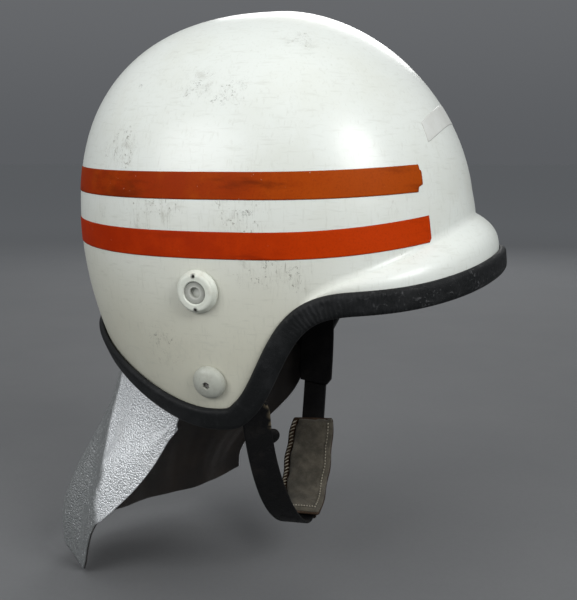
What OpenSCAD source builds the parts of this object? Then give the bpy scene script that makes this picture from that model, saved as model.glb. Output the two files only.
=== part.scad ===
// Fire helmet: open-face glass-fibre shell with a short peak, rubber edge trim, two marking stripes,
// padded lining, neck curtain and a leather chin strap.
// X points to the front, Y to the wearer's left, Z up. The origin is in the middle of the shell
// at its widest level, where the brow band holds the head.

/* [Shell] */
// Reach of the dome in front of the origin
front_len = 127.5; // [115:0.5:140]
// Reach of the dome behind the origin
rear_len = 142.5; // [130:0.5:155]
// Width over the sides
shell_w = 240; // [220:1:260]
// Height of the crown above the widest level
crown_h = 133.5; // [120:0.5:145]
// Wall thickness
shell_t = 3.5; // [2.5:0.1:4.5]
// How full the dome is in front, 2 is an ellipse
front_round = 1.87; // [1.7:0.01:2.2]
// How full the dome is behind
rear_round = 2.4; // [2:0.05:2.8]
// How full the dome is at the sides
side_round = 2.2; // [2:0.05:2.6]
// How square the dome is seen from above
plan_round = 2.2; // [2:0.05:2.5]
// Spread of the front wall at 100 below the widest level
front_spread = 9.8; // [4:0.2:14]
// Height where that spread starts
spread_z = 15; // [5:1:25]
// Tuck of the rear wall at 100 below the widest level
rear_tuck = 25; // [15:1:32]
// Tuck of each side wall at 100 below the widest level
side_tuck = 11; // [6:0.5:16]

/* [Shell edge] */
// Height of the edge over the brow
brow_z = -34; // [-40:1:-28]
// Height of the edge at the temples
temple_z = -51; // [-58:1:-45]
// Height of the lowest point of the ear lobes
lobe_z = -127; // [-135:1:-118]
// Height of the edge at the nape
nape_z = -81; // [-92:1:-76]
// Half angle over which the brow arch rises
brow_span = 65; // [50:1:75]
// Place along X of the step from temple to ear lobe
temple_x = 18; // [12:1:24]
// Half length along X of that step
temple_run = 77; // [65:1:85]
// Tightness of the upper curve of the step
temple_round = 3.5; // [2.8:0.1:4.2]
// Tightness of the lower curve of the step
lobe_round = 4.8; // [4:0.1:5.6]
// Place along X where the edge starts to climb to the nape
lobe_x = -32; // [-40:1:-24]
// How late that climb starts, 1 is straight
nape_curve = 1.96; // [1.4:0.02:2.4]

/* [Peak] */
// How far the peak stands out from the dome at the front
peak_reach = 14; // [8:0.5:20]
// Height over which it flares out
peak_drop = 22; // [16:0.5:26]
// Half angle at which the flare has died away
peak_span = 84; // [70:1:95]
// How quickly the flare turns down
peak_turn = 2.8; // [1.8:0.1:3.4]

/* [Edge trim] */
// Height of the rubber trim on the outer face
trim_h = 12.5; // [9:0.5:14]
// Thickness of its outer leg
trim_t = 4; // [2.5:0.1:4.5]
// Height of its inner leg
trim_inner_h = 8; // [6:0.5:9]
// Thickness of its inner leg
trim_inner_t = 1.6; // [1.2:0.1:2]

/* [Marking stripes] */
// Width of each stripe
stripe_w = 16; // [12:0.5:20]
// Thickness of the tape
stripe_t = 0.5; // [0.4:0.1:0.8]
// Height of the middle of the upper stripe
upper_z = 21; // [16:1:26]
// Rise of the upper stripe towards the front
upper_lift = 4; // [0:0.5:6]
// Its rise towards the back
upper_rear = 4; // [0:0.5:6]
// Height of the middle of the lower stripe
lower_z = -13.5; // [-18:0.5:-9]
// Rise of the lower stripe towards the front
lower_lift = 8; // [0:0.5:10]
// Its rise towards the back
lower_rear = 5.5; // [0:0.5:8]
// Angle from the front where the upper stripe ends
upper_end = 39; // [34:1:50]
// Angle from the front where the lower stripe ends
lower_end = 37; // [34:1:50]

/* [Front label] */
// Height of the middle of the bare label
label_z = 65; // [55:1:75]
// Height of the label tape
label_h = 14; // [10:0.5:20]
// Half angle that the label covers
label_span = 32; // [20:1:38]
// Fall of the label from its middle to its ends
label_fall = 13; // [6:0.5:16]
// Thickness of the label
label_t = 0.4; // [0.4:0.1:0.8]

/* [Lining] */
// Thickness of the impact liner
liner_t = 16; // [12:0.5:18]
// Lowest level of the impact liner
liner_z = -45; // [-48:1:-40]
// Distance of the liner's edge above the shell's edge
liner_lift = 16; // [15:1:22]
// Thickness of the crown cushion
crown_pad_t = 7; // [5:0.5:10]
// Lowest level of the crown cushion
crown_pad_z = 64; // [50:1:72]
// Thickness of the leather brow band
band_t = 2.6; // [2:0.1:3.2]
// Height of the brow band
band_h = 32; // [24:1:38]
// Thickness of the ear pads
ear_pad_t = 5; // [4:0.5:6]
// Distance of the ear pads above the shell's edge
ear_pad_lift = 9; // [8:0.5:14]
// Angle from the front of the front edge of the ear pads
ear_pad_from = 97; // [92:1:100]
// Angle from the front of their rear edge
ear_pad_to = 134; // [125:1:140]

/* [Visor sockets] */
// Place of the sockets along X
socket_x = -27.5; // [-34:0.5:-20]
// Height of the sockets
socket_z = -41; // [-46:1:-36]
// Outer diameter of the socket ring
socket_d = 26; // [22:0.5:30]
// Height of the socket ring
socket_h = 5.2; // [4:0.2:7]
// Diameter of the grey insert
insert_d = 13; // [11:0.5:15]
// Diameter of the visor pivot bore in the insert
pivot_d = 7; // [5:0.5:8]
// Depth of the pivot bore
pivot_depth = 3; // [2.4:0.1:3.2]

/* [Chin strap anchors] */
// Place of the anchors along X
anchor_x = -23.5; // [-30:0.5:-20]
// Height of the anchors
anchor_z = -97.5; // [-102:0.5:-94]
// Diameter of the white cap outside
cap_d = 21; // [18:0.5:24]
// Height of the cap
cap_h = 6.2; // [5.8:0.1:8]
// Diameter of the screw shank
screw_d = 5; // [4:0.5:6]
// Diameter of the retaining nut inside
nut_d = 14; // [13:0.5:16]
// Thickness of the nut
nut_t = 2.6; // [2:0.1:3]

/* [Chin strap] */
// How far inside the shell's face the strap loop hangs at the anchors
strap_inset = 14.6; // [14:0.1:18]
// How far the loop hangs below the anchors
loop_drop = 127; // [115:1:140]
// How round the loop is, 2 is an ellipse
loop_round = 1.66; // [1.5:0.02:1.9]
// How far the strap runs forward from its anchor to the shell's edge
loop_lean = 27; // [22:1:30]
// How much less the right strap leans
right_back = 3.5; // [0:0.5:5]
// How far it goes on forward to the chin
chin_lean = 6; // [2:1:12]
// Twist of the right strap below its anchor
strap_twist = 32; // [0:1:35]
// Width of the straps
strap_w = 18; // [16:0.5:20]
// Thickness of the straps
strap_t = 2.2; // [1.8:0.1:2.4]
// Width of the leather guard at the top of the left strap
guard_w = 27; // [24:0.5:30]
// Thickness of the guard
guard_t = 2; // [1.6:0.1:2.4]
// Width of the small tab on the right strap
tab_w = 11; // [9:0.5:13]
// How far its round end stands out in front of the strap
tab_out = 5.5; // [4:0.5:8]
// Place of the tab along the strap
tab_run = 57; // [45:1:65]
// Thickness of the tab
tab_t = 1.6; // [1.2:0.1:2]
// Width of the chin pad
pad_w = 35; // [30:1:38]
// Thickness of the felt of the chin pad
felt_t = 5; // [4:0.5:6]
// Thickness of the leather back of the chin pad
pad_back_t = 1.6; // [1.2:0.1:2]
// How far the felt stays inside the rear edge of that back
felt_inset = 4; // [0:0.5:6]

/* [Buckle] */
// Length of the buckle between its bars
buckle_l = 17; // [16:0.5:20]
// Diameter of the buckle's wire
wire_d = 2.6; // [2.2:0.1:3]
// Wall of the leather keeper
keeper_t = 1.6; // [1.2:0.1:2]

/* [Neck curtain] */
// Thickness of each layer
cloth_t = 1; // [0.8:0.1:1.2]
// Overlap of the curtain inside the shell's edge
curtain_tuck = 9.5; // [9:0.5:12]
// Depth of the hanging folds
fold_depth = 3; // [0:0.5:5]
// Diameter of the press studs
stud_d = 9; // [7:0.5:11]

/* [Hidden] */
$fn = 48;
gap = 0.3;
// Clearances that also take up the facets of curved skins
trim_gap = 0.5;
lining_gap = 0.9;
tape_gap = 0.4;
columns = 96;
shell_rows = 17;
flare_rows = 6;
inner_rows = 12;
inner_flare_rows = 3;
mid_z = -60;

// General curves
function fade(x) = let (u = min(max(x, 0), 1)) u * u * (3 - 2 * u);
function mix(a, b, f) = a + (b - a) * f;
function spow(x, p) = sign(x) * pow(abs(x), p);
function unit(v) = v / norm(v);

// Reach of the dome in each direction at a height
function arch(z, reach, fullness) =
    let (u = min(max(z / crown_h, 0), 1)) reach * pow(1 - pow(u, fullness), 1 / fullness);
function depth(z) = max(-z, 0) / 100;
function front_reach(z) =
    arch(z, front_len, front_round) + front_spread * max(spread_z - z, 0) / 100;
function rear_reach(z) = arch(z, rear_len, rear_round) - rear_tuck * pow(depth(z), 2);
function side_reach(z) = arch(z, shell_w / 2, side_round) - side_tuck * pow(depth(z), 2);
function dome(a, z) = [
    (cos(a) > 0 ? front_reach(z) : rear_reach(z)) * spow(cos(a), 2 / plan_round),
    side_reach(z) * spow(sin(a), 2 / plan_round),
    z];
function dome_angle(x, z) =
    let (r = x > 0 ? front_reach(z) : rear_reach(z))
    x > 0 ? acos(pow(x / r, plan_round / 2)) : 180 - acos(pow(-x / r, plan_round / 2));

// Height of the shell's edge at an angle from the front
function edge_z(a) =
    let (
        x = dome(a, mid_z)[0],
        u = min(max((temple_x + temple_run - x) / (2 * temple_run), 0.001), 0.999),
        m = mix(temple_round, lobe_round, fade(u)),
        step = pow(u, m) / (pow(u, m) + pow(1 - u, m)),
        turn = abs(a > 180 ? a - 360 : a),
        front = mix(brow_z, temple_z, fade(turn / brow_span)),
        climb = pow(max((lobe_x - x) / (lobe_x + rear_reach(mid_z)), 0), nape_curve))
    mix(front, lobe_z, step) + (nape_z - lobe_z) * climb;

// Flare of the peak
function peak_share(a) = fade((cos(a) - cos(peak_span)) / (1 - cos(peak_span)));
function flare(a, z) =
    let (
        share = peak_share(a),
        start = edge_z(a) + trim_h + peak_drop * share,
        s = min(max((start - z) / max(peak_drop * share, 0.1), 0), 1))
    peak_reach * share * (1 - pow(1 - s, peak_turn));
function plan_normal(a, z) =
    let (d = dome(a + 0.5, z) - dome(a - 0.5, z)) unit([d[1], -d[0], 0]);
function shell_point(a, z) = dome(a, z) + flare(a, z) * plan_normal(a, z);

// Outward normals of the shell and of the plain dome
function shell_normal(a, z) =
    unit(cross(shell_point(a + 0.5, z) - shell_point(a - 0.5, z),
        shell_point(a, z + 0.3) - shell_point(a, z - 0.3)));
function dome_normal(a, z) =
    unit(cross(dome(a + 0.5, z) - dome(a - 0.5, z), dome(a, z + 0.3) - dome(a, z - 0.3)));
function on_shell(a, z, off) = shell_point(a, z) + off * shell_normal(a, z);
function on_dome(a, z, off) = dome(a, z) + off * dome_normal(a, z);

// Columns of the shell, evenly spaced along its edge
edge_steps = 240;
edge_fine = [for (i = [0:edge_steps]) shell_point(i * 360 / edge_steps, edge_z(i * 360 / edge_steps))];
edge_run = [for (i = 0, s = 0; i <= edge_steps;
    s = s + (i < edge_steps ? norm(edge_fine[i + 1] - edge_fine[i]) : 0), i = i + 1)
    [s, i * 360 / edge_steps]];
column_angle = [for (i = [0:columns - 1]) lookup(i * edge_run[edge_steps][0] / columns, edge_run)];

// Faces of a grid of points, row after row, as triangles facing out
function grid_faces(cols, rows, start, closed, flip) = [
    for (r = [0:rows - 2], c = [0:(closed ? cols - 1 : cols - 2)])
        let (
            d = (c + 1) % cols,
            p = start + r * cols + c, q = start + r * cols + d,
            s = p + cols, t = q + cols)
        each (flip ? [[p, q, t], [p, t, s]] : [[p, t, q], [p, s, t]])];
function ring_faces(p, q, cols, closed, flip) = [
    for (c = [0:(closed ? cols - 1 : cols - 2)])
        let (d = (c + 1) % cols)
        each (flip ? [[p + c, q + d, p + d], [p + c, q + c, q + d]]
            : [[p + c, p + d, q + d], [p + c, q + d, q + c]])];
function fan_faces(p, tip, cols, flip) = [
    for (c = [0:cols - 1])
        let (d = (c + 1) % cols) flip ? [p + c, p + d, tip] : [p + c, tip, p + d]];

// A closed cap of a wall thickness that follows the dome from a lower edge to the crown
// The first rows of each skin are spread over the foot, the rest up to the crown
module dome_cap(angles, rows_out, rows_in, foot_out, foot_in, low, foot,
        outside, inside, crown_out, crown_in) {
    cols = len(angles);
    function level(a, r, rows, foot_rows) =
        r < foot_rows ? low(a) + foot(a) * r / foot_rows
        : mix(low(a) + foot(a), crown_h, sin(90 * (r - foot_rows) / (rows - foot_rows)));
    points = concat(
        [for (r = [0:rows_out - 1], a = angles) outside(a, level(a, r, rows_out, foot_out))],
        [[0, 0, crown_out]],
        [for (r = [0:rows_in - 1], a = angles) inside(a, level(a, r, rows_in, foot_in))],
        [[0, 0, crown_in]]);
    inner = cols * rows_out + 1;
    polyhedron(points, concat(
        grid_faces(cols, rows_out, 0, true, false),
        fan_faces(cols * (rows_out - 1), cols * rows_out, cols, false),
        grid_faces(cols, rows_in, inner, true, true),
        fan_faces(inner + cols * (rows_in - 1), inner + cols * rows_in, cols, true),
        ring_faces(0, inner, cols, true, false)));
}

// A slab between two skins given by functions of u along it and v up it, both from 0 to 1
module slab(cols, rows, closed, outer, inner) {
    span = closed ? cols : cols - 1;
    points = concat(
        [for (r = [0:rows - 1], c = [0:cols - 1]) outer(c / span, r / (rows - 1))],
        [for (r = [0:rows - 1], c = [0:cols - 1]) inner(c / span, r / (rows - 1))]);
    n = cols * rows;
    top = cols * (rows - 1);
    sides = closed ? [] : [
        for (r = [0:rows - 2])
            let (p = r * cols, q = p + cols, e = cols - 1)
            each [[p, n + p, q], [q, n + p, n + q],
                [p + e, q + e, n + p + e], [q + e, n + q + e, n + p + e]]];
    polyhedron(points, concat(
        grid_faces(cols, rows, 0, closed, false),
        grid_faces(cols, rows, n, closed, true),
        ring_faces(0, n, cols, closed, false),
        ring_faces(top, n + top, cols, closed, true),
        sides));
}

// A closed profile of [outward, upward] points carried round the shell's edge
module edge_sweep(profile) {
    n = len(profile);
    points = [for (a = column_angle)
        let (
            here = on_shell(a, edge_z(a), -shell_t / 2),
            out = shell_normal(a, edge_z(a)),
            along = unit(shell_point(a + 0.4, edge_z(a + 0.4)) - shell_point(a - 0.4, edge_z(a - 0.4))),
            up = cross(out, along))
        for (p = profile) here + p[0] * out + p[1] * up];
    polyhedron(points, [for (c = [0:columns - 1], k = [0:n - 1])
        let (d = (c + 1) % columns, j = (k + 1) % n, p = c * n, q = d * n)
        each [[p + k, q + j, p + j], [p + k, q + k, q + j]]]);
}

// Carries children to a point of the shell, with their Z along the outward normal
module seat_on_shell(a, z, off) {
    n = shell_normal(a, z);
    translate(on_shell(a, z, off))
        rotate([0, acos(n[2]), atan2(n[1], n[0])])
            children();
}

// Shell
module shell() {
    color([0.9, 0.89, 0.85])
    difference() {
        dome_cap(column_angle, shell_rows, inner_rows, flare_rows, inner_flare_rows,
            function (a) edge_z(a), function (a) trim_h + peak_drop * peak_share(a),
            function (a, z) on_shell(a, z, 0), function (a, z) on_shell(a, z, -shell_t),
            crown_h, crown_h - shell_t);
        for (side = [-1, 1])
            translate([anchor_x, side * shell_w / 2, anchor_z])
                rotate([90, 0, 0])
                    cylinder(d = screw_d + 2 * gap, h = 60, center = true);
    }
}

trim_web = 2;
module edge_trim() {
    s = shell_t / 2 + trim_gap;
    color([0.1, 0.1, 0.11])
    edge_sweep([
        [s, trim_h], [s + 0.5 * trim_t, trim_h - 0.3], [s + trim_t, trim_h - trim_web],
        [s + trim_t, 0], [s + 0.5 * trim_t, -trim_web], [-s, -trim_web],
        [-s - trim_inner_t, -trim_web / 2], [-s - trim_inner_t, trim_inner_h],
        [-s, trim_inner_h], [-s, -gap], [s, -gap]]);
}

// Stripes and label
module shell_tape(from, to, cols, rows, thick, level, height) {
    function angle(u) = mix(from, to, u);
    slab(cols, rows, false,
        function (u, v) on_shell(angle(u), level(u) + (v - 0.5) * height, tape_gap + thick),
        function (u, v) on_shell(angle(u), level(u) + (v - 0.5) * height, tape_gap));
}
function tape_level(a, middle, front_rise, rear_rise) =
    let (x = dome(a, 0)[0])
    middle + (x > 0 ? front_rise * pow(x / 100, 2.2) : rear_rise * pow(-x / rear_len, 4));

module upper_stripe() {
    color([0.68, 0.27, 0.06])
    shell_tape(upper_end, 360 - upper_end, 45, 3, stripe_t,
        function (u) tape_level(mix(upper_end, 360 - upper_end, u), upper_z, upper_lift, upper_rear),
        stripe_w);
}
module lower_stripe() {
    color([0.74, 0.2, 0.05])
    shell_tape(lower_end, 360 - lower_end, 45, 3, stripe_t,
        function (u) tape_level(mix(lower_end, 360 - lower_end, u), lower_z, lower_lift, lower_rear),
        stripe_w);
}
module front_label() {
    color([0.84, 0.84, 0.82])
    shell_tape(-label_span, label_span, 17, 3, label_t,
        function (u) label_z - label_fall * pow(2 * u - 1, 2), label_h * 0.87);
}

// Lining
liner_off = -shell_t - lining_gap;
lining_off = liner_off - liner_t;
function liner_low(a) = max(liner_z, edge_z(a) + liner_lift);
lining_angle = [for (i = [0:2:columns - 1]) column_angle[i]];

module impact_liner() {
    color([0.25, 0.25, 0.27])
    dome_cap(lining_angle, 8, 7, 0, 0, function (a) liner_low(a), function (a) 0,
        function (a, z) on_dome(a, z, liner_off), function (a, z) on_dome(a, z, lining_off),
        crown_h + liner_off, crown_h + lining_off);
}
module crown_cushion() {
    top = lining_off - lining_gap - 2 * gap;
    function puff(a, z) = crown_pad_t * pow(max((z - crown_pad_z) / (crown_h - crown_pad_z), 0), 0.35);
    color([0.16, 0.15, 0.15])
    dome_cap([for (i = [0:3:columns - 1]) column_angle[i]], 5, 5, 0, 0,
        function (a) crown_pad_z, function (a) 0,
        function (a, z) on_dome(a, z, top), function (a, z) on_dome(a, z, top - 1 - puff(a, z)),
        crown_h + top, crown_h + top - crown_pad_t - 1);
}
band_lift = 12;
module brow_band() {
    off = lining_off - lining_gap;
    function level(a, v) = liner_low(a) + band_lift + v * band_h;
    color([0.35, 0.24, 0.16])
    slab(len(lining_angle), 3, true,
        function (u, v) let (a = lining_angle[round(u * len(lining_angle)) % len(lining_angle)])
            on_dome(a, level(a, v), off),
        function (u, v) let (a = lining_angle[round(u * len(lining_angle)) % len(lining_angle)])
            on_dome(a, level(a, v), off - band_t));
}
ear_pad_overlap = 9;
module ear_pad(side) {
    off = lining_off - lining_gap;
    top = liner_z + ear_pad_overlap;
    function swell(u, v) = ear_pad_t * (0.35 + 0.65 * pow(sin(180 * u) * sin(180 * v), 0.5));
    function place(u, v, off) =
        let (a = mix(ear_pad_from, ear_pad_to, u), p = on_dome(a, mix(edge_z(a) + ear_pad_lift, top, v), off))
        [p[0], side * p[1], p[2]];
    color([0.13, 0.13, 0.13])
    if (side > 0)
        slab(9, 9, false, function (u, v) place(u, v, off), function (u, v) place(u, v, off - swell(u, v)));
    else
        slab(9, 9, false, function (u, v) place(1 - u, v, off),
            function (u, v) place(1 - u, v, off - swell(1 - u, v)));
}
module ear_pad_right() { ear_pad(-1); }
module ear_pad_left() { ear_pad(1); }

// Visor sockets
socket_a = dome_angle(socket_x, socket_z);
module at_socket(side) {
    mirror([0, side < 0 ? 1 : 0, 0])
        seat_on_shell(socket_a, socket_z, gap)
            children();
}
rim_r = 2;
key_hole_d = 1.8;
key_hole_edge = 3;
module visor_socket(side) {
    r = socket_d / 2;
    hole = insert_d / 2 + gap;
    foot = socket_h / 4;
    color([0.88, 0.87, 0.82])
    at_socket(side)
        difference() {
            rotate_extrude()
                polygon(concat([[hole, 0], [r, 0], [r, foot]],
                    [for (b = [0:15:90])
                        [r - foot - rim_r + rim_r * cos(b), socket_h - rim_r + rim_r * sin(b)]],
                    [[hole + 2 * gap, socket_h], [hole, socket_h - 2 * gap]]));
            for (s = [-1, 1])
                translate([s * (r - key_hole_edge), 0, socket_h - rim_r])
                    cylinder(d = key_hole_d, h = socket_h);
        }
}
module visor_socket_right() { visor_socket(-1); }
module visor_socket_left() { visor_socket(1); }

module socket_insert(side) {
    color([0.52, 0.53, 0.52])
    at_socket(side)
        difference() {
            cylinder(d = insert_d, h = socket_h - 1);
            translate([0, 0, socket_h - 1 - pivot_depth])
                cylinder(d = pivot_d, h = pivot_depth + 1);
        }
}
module socket_insert_right() { socket_insert(-1); }
module socket_insert_left() { socket_insert(1); }

// Chin strap anchors
anchor_a = dome_angle(anchor_x, anchor_z);
anchor_y = dome(anchor_a, anchor_z)[1];
anchor_slope = 1.8;
cap_wall = 1.8;
head_d = 8.4;
head_h = 1.6;
shoulder_d = 12;
neck_d = 8;
// Where the hanging strip leaves the flat end of the strap
strap_start = 7.5;
loop_half = anchor_y - strap_inset;
strap_in = loop_half - strap_t / 2;

cap_edge = 1.4;
head_room = 1.6;
hex_d = 5;
module strap_cap(side) {
    r = cap_d / 2;
    hollow = head_d / 2 + head_room;
    color([0.9, 0.89, 0.86])
    mirror([0, side < 0 ? 1 : 0, 0])
        seat_on_shell(anchor_a, anchor_z, gap)
            difference() {
                rotate_extrude()
                    polygon(concat([[hollow, 0], [r, 0], [r, cap_edge]],
                        [for (b = [20:10:90]) [r * cos(b), cap_edge + (cap_h - cap_edge) * sin(b)]],
                        [[0, cap_h - cap_wall], [hollow - 1, cap_h - cap_wall],
                            [hollow, cap_h - cap_wall - 1]]));
                translate([0, 0, cap_h - cap_wall - 1])
                    cylinder(d = hex_d, h = cap_wall + 2, $fn = 6);
            }
}
module strap_cap_right() { strap_cap(-1); }
module strap_cap_left() { strap_cap(1); }

// Children stand on the hinge line, with their Z pointing out of the side
module at_anchor(side, y) {
    translate([anchor_x, side * y, anchor_z])
        rotate([-90 * side, 0, 0])
            children();
}
socket_cut = 1;
module strap_screw(side) {
    seat = anchor_y + anchor_slope;
    color([0.55, 0.55, 0.56])
    difference() {
        union() {
            at_anchor(side, strap_in - gap - nut_t)
                cylinder(d = screw_d, h = seat - strap_in + gap + nut_t + 0.1);
            at_anchor(side, seat)
                cylinder(d = head_d, h = head_h);
        }
        at_anchor(side, seat + head_h - socket_cut)
            cylinder(d = 0.4 * head_d, h = 2 * socket_cut, $fn = 6);
    }
}
module strap_screw_right() { strap_screw(-1); }
module strap_screw_left() { strap_screw(1); }

module pivot_sleeve(side) {
    bore = screw_d / 2 + 0.15;
    start = strap_in - gap;
    length = anchor_y - shell_t - anchor_slope - 2 * gap - start;
    color([0.42, 0.42, 0.44])
    at_anchor(side, start)
        rotate_extrude()
            polygon([[bore, 0], [neck_d / 2, 0], [neck_d / 2, strap_t + 2 * gap],
                [shoulder_d / 2, strap_t + 2 * gap], [shoulder_d / 2, length - 0.6],
                [shoulder_d / 2 - 0.6, length], [bore, length]]);
}
module pivot_sleeve_right() { pivot_sleeve(-1); }
module pivot_sleeve_left() { pivot_sleeve(1); }

module pivot_nut(side) {
    bore = screw_d / 2 + 0.15;
    r = nut_d / 2;
    color([0.35, 0.35, 0.37])
    at_anchor(side, strap_in - gap - nut_t)
        rotate_extrude()
            polygon([[bore, 0], [r - 1.4, 0], [r, nut_t - 1], [r, nut_t], [bore, nut_t]]);
}
module pivot_nut_right() { pivot_nut(-1); }
module pivot_nut_left() { pivot_nut(1); }

// Chin strap loop: b runs from 0 at the right anchor to 180 at the left anchor
function loop_point(b) =
    let (fall = pow(sin(b), 2 / loop_round))
    [anchor_x + (loop_lean - right_back * pow(max(cos(b), 0), 2))
        * (1 - pow(1 - min(fall / lean_share, 1), 2))
        + chin_lean * pow(fall, 3),
        -loop_half * spow(cos(b), 2 / loop_round),
        anchor_z - loop_drop * fall];
lean_share = 0.2;
function loop_turn(b) = b < 90 ? -strap_twist * fade((b - 8) / 14) * (1 - fade((b - 34) / 46)) : 0;
function loop_along(b) = unit(loop_point(b + 0.4) - loop_point(b - 0.4));
function loop_across(b) =
    let (t = loop_along(b), x = unit([1, 0, 0] - t[0] * t), y = cross(t, x), w = loop_turn(b))
    cos(w) * x + sin(w) * y;
function loop_out(b) = cross(loop_along(b), loop_across(b));
function loop_place(b, across, out) = loop_point(b) + across * loop_across(b) + out * loop_out(b);

loop_steps = 180;
loop_run = [for (i = 0, s = 0; i <= loop_steps;
    s = s + (i < loop_steps ? norm(loop_point(i + 1) - loop_point(i)) : 0), i = i + 1) [s, i]];
run_loop = [for (p = loop_run) [p[1], p[0]]];
function run_at(b) = lookup(b, run_loop);
function angle_at(s) = lookup(s, loop_run);

// A flat strip of leather along the loop, from run s0 to s1, with its lift given along the run
module strip(s0, s1, cols, width, thick, lift) {
    function b_at(u) = angle_at(mix(s0, s1, u));
    slab(cols, 2, false,
        function (u, v) loop_place(b_at(u), (v - 0.5) * width, lift(mix(s0, s1, u)) + thick / 2),
        function (u, v) loop_place(b_at(u), (v - 0.5) * width, lift(mix(s0, s1, u)) - thick / 2));
}
// Children lie flat on the loop: X across, Y along, Z out
module on_loop(s) {
    b = angle_at(s);
    x = loop_across(b);
    y = loop_along(b);
    z = loop_out(b);
    p = loop_point(b);
    multmatrix([[x[0], y[0], z[0], p[0]], [x[1], y[1], z[1], p[1]], [x[2], y[2], z[2], p[2]]])
        children();
}
// The rounded end of a strap at its anchor, with the hole for the sleeve
module strap_end(side) {
    at_anchor(side, strap_in)
        linear_extrude(strap_t)
            circle(d = strap_w);
}
module sleeve_hole(side) {
    at_anchor(side, strap_in - 1)
        cylinder(d = neck_d + 2 * gap, h = strap_t + 2);
}

heel_s = run_at(117);
fold_r = wire_d / 2 + 2 * gap + 1;
ride = fold_r + gap + strap_t / 2;
lap = strap_t + gap;
tongue_l = 26;
keeper_l = 6;
tongue_end = heel_s + tongue_l;
left_start = heel_s + fold_r + gap;
// Slot in the right strap for the prong
slot_w = 4;
slot_before = 11.5;
slot_after = 3.5;
// The tongue climbs over the heel bar and comes down on the left strap
climb_from = 13;
climb_l = 9;
fall_from = 4;
fall_l = 8;
function tongue_lift(s) =
    let (d = s - heel_s)
    d < 0 ? ride * fade((d + climb_from) / climb_l) : mix(ride, lap, fade((d - fall_from) / fall_l));

module strap_right() {
    color([0.12, 0.12, 0.12])
    difference() {
        union() {
            strap_end(-1);
            strip(run_at(0) + strap_start, tongue_end, 46, strap_w, strap_t, function (s) tongue_lift(s));
        }
        sleeve_hole(-1);
        on_loop(heel_s)
            translate([-slot_w / 2, -slot_before, -1])
                cube([slot_w, slot_before + slot_after, 2 * ride]);
    }
}
module strap_left() {
    color([0.12, 0.12, 0.12])
    difference() {
        union() {
            strap_end(1);
            strip(left_start, run_at(180) - strap_start, 32, strap_w, strap_t, function (s) 0);
        }
        sleeve_hole(1);
    }
}
// Heights of the guard's ends above the anchor, at its rear and front edge
guard_low = [-43.5, -46.5];
guard_high = [-2, 9];
// The guard hangs inside the left strap, but straight, without the lean of the strap's top
function guard_path(h) =
    let (fall = max(-h, 0) / loop_drop)
    [anchor_x + loop_lean + chin_lean * pow(fall, 3),
        loop_half * pow(1 - pow(fall, loop_round), 1 / loop_round),
        anchor_z + h];
function guard_place(u, v, out) =
    let (
        h = mix(mix(guard_low[0], guard_low[1], v), mix(guard_high[0], guard_high[1], v), u),
        up = unit(guard_path(h + 0.5) - guard_path(h - 0.5)))
    guard_path(h) + [(v - 0.5) * guard_w, 0, 0] + out * unit(cross(up, [1, 0, 0]));
module strap_guard() {
    off = -strap_t / 2 - 2 * gap;
    color([0.1, 0.1, 0.1])
    slab(9, 2, false,
        function (u, v) guard_place(u, v, off), function (u, v) guard_place(u, v, off - guard_t));
}

tab_gap = 0.9;
// A short leather tab under the right strap, with its round end showing in front
module strap_tab() {
    r = tab_w / 2;
    color([0.2, 0.13, 0.09])
    on_loop(run_at(0) + tab_run)
        translate([0, 0, -strap_t / 2 - tab_gap - tab_t])
            linear_extrude(tab_t)
                polygon(concat([[-strap_w / 3, r], [-strap_w / 3, -r]],
                    [for (b = [-90:15:90]) [strap_w / 2 + tab_out - r + r * cos(b), r * sin(b)]]));
}

// A square sleeve round the strap, from one height to another
module loop_sleeve(s, inner_lo, inner_hi, wall, length) {
    w = strap_w + 2 * gap;
    on_loop(s)
        difference() {
            translate([-w / 2 - wall, 0, inner_lo - wall])
                cube([w + 2 * wall, length, inner_hi - inner_lo + 2 * wall]);
            translate([-w / 2, -1, inner_lo])
                cube([w, length + 2, inner_hi - inner_lo]);
        }
}
keeper_s = heel_s + tongue_l - 2 * keeper_l;
keeper_room = 0.5;
module keeper_loop() {
    color([0.1, 0.1, 0.1])
    loop_sleeve(keeper_s, -strap_t / 2 - keeper_room, lap + strap_t / 2 + keeper_room, keeper_t, keeper_l);
}

// Buckle: a wire frame, with its heel bar inside and its front bar outside the tongue
front_rise = strap_t / 2 + wire_d / 2 + 2 * gap;
bar_half = strap_w / 2 + 2 * gap + wire_d / 2;
arm_t = 2;
heel_room = 0.5;
module buckle_frame() {
    w = bar_half + wire_d / 2;
    near = wire_d / 2 + heel_room;
    far = -buckle_l - wire_d / 2;
    color([0.6, 0.6, 0.6])
    on_loop(heel_s)
        rotate([-atan(front_rise / buckle_l), 0, 0])
            union() {
                translate([0, 0, -arm_t / 2])
                    linear_extrude(arm_t)
                        difference() {
                            translate([-w, far])
                                square([2 * w, near - far]);
                            translate([-w + wire_d, far + wire_d])
                                square([2 * (w - wire_d), near - far]);
                        }
                rotate([0, 90, 0])
                    cylinder(d = wire_d, h = 2 * bar_half, center = true);
            }
}
prong_d = 2.2;
prong_over = 2;
ring_l = 3;
ring_t = 1.2;
module buckle_prong() {
    hole_r = wire_d / 2 + gap;
    start = hole_r;
    rise = front_rise + wire_d / 2 + 2 * gap + prong_d / 2;
    reach = norm([buckle_l + prong_over, rise]);
    tilt = asin((rise - start) / reach);
    color([0.55, 0.55, 0.55])
    on_loop(heel_s)
        difference() {
            union() {
                rotate([0, 90, 0])
                    cylinder(r = hole_r + ring_t, h = ring_l, center = true, $fn = 32);
                translate([0, 0, start])
                    rotate([90 - tilt, 0, 0])
                        cylinder(d = prong_d, h = reach, $fn = 24);
            }
            rotate([0, 90, 0])
                cylinder(r = hole_r, h = ring_l + 2, center = true, $fn = 32);
        }
}

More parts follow.
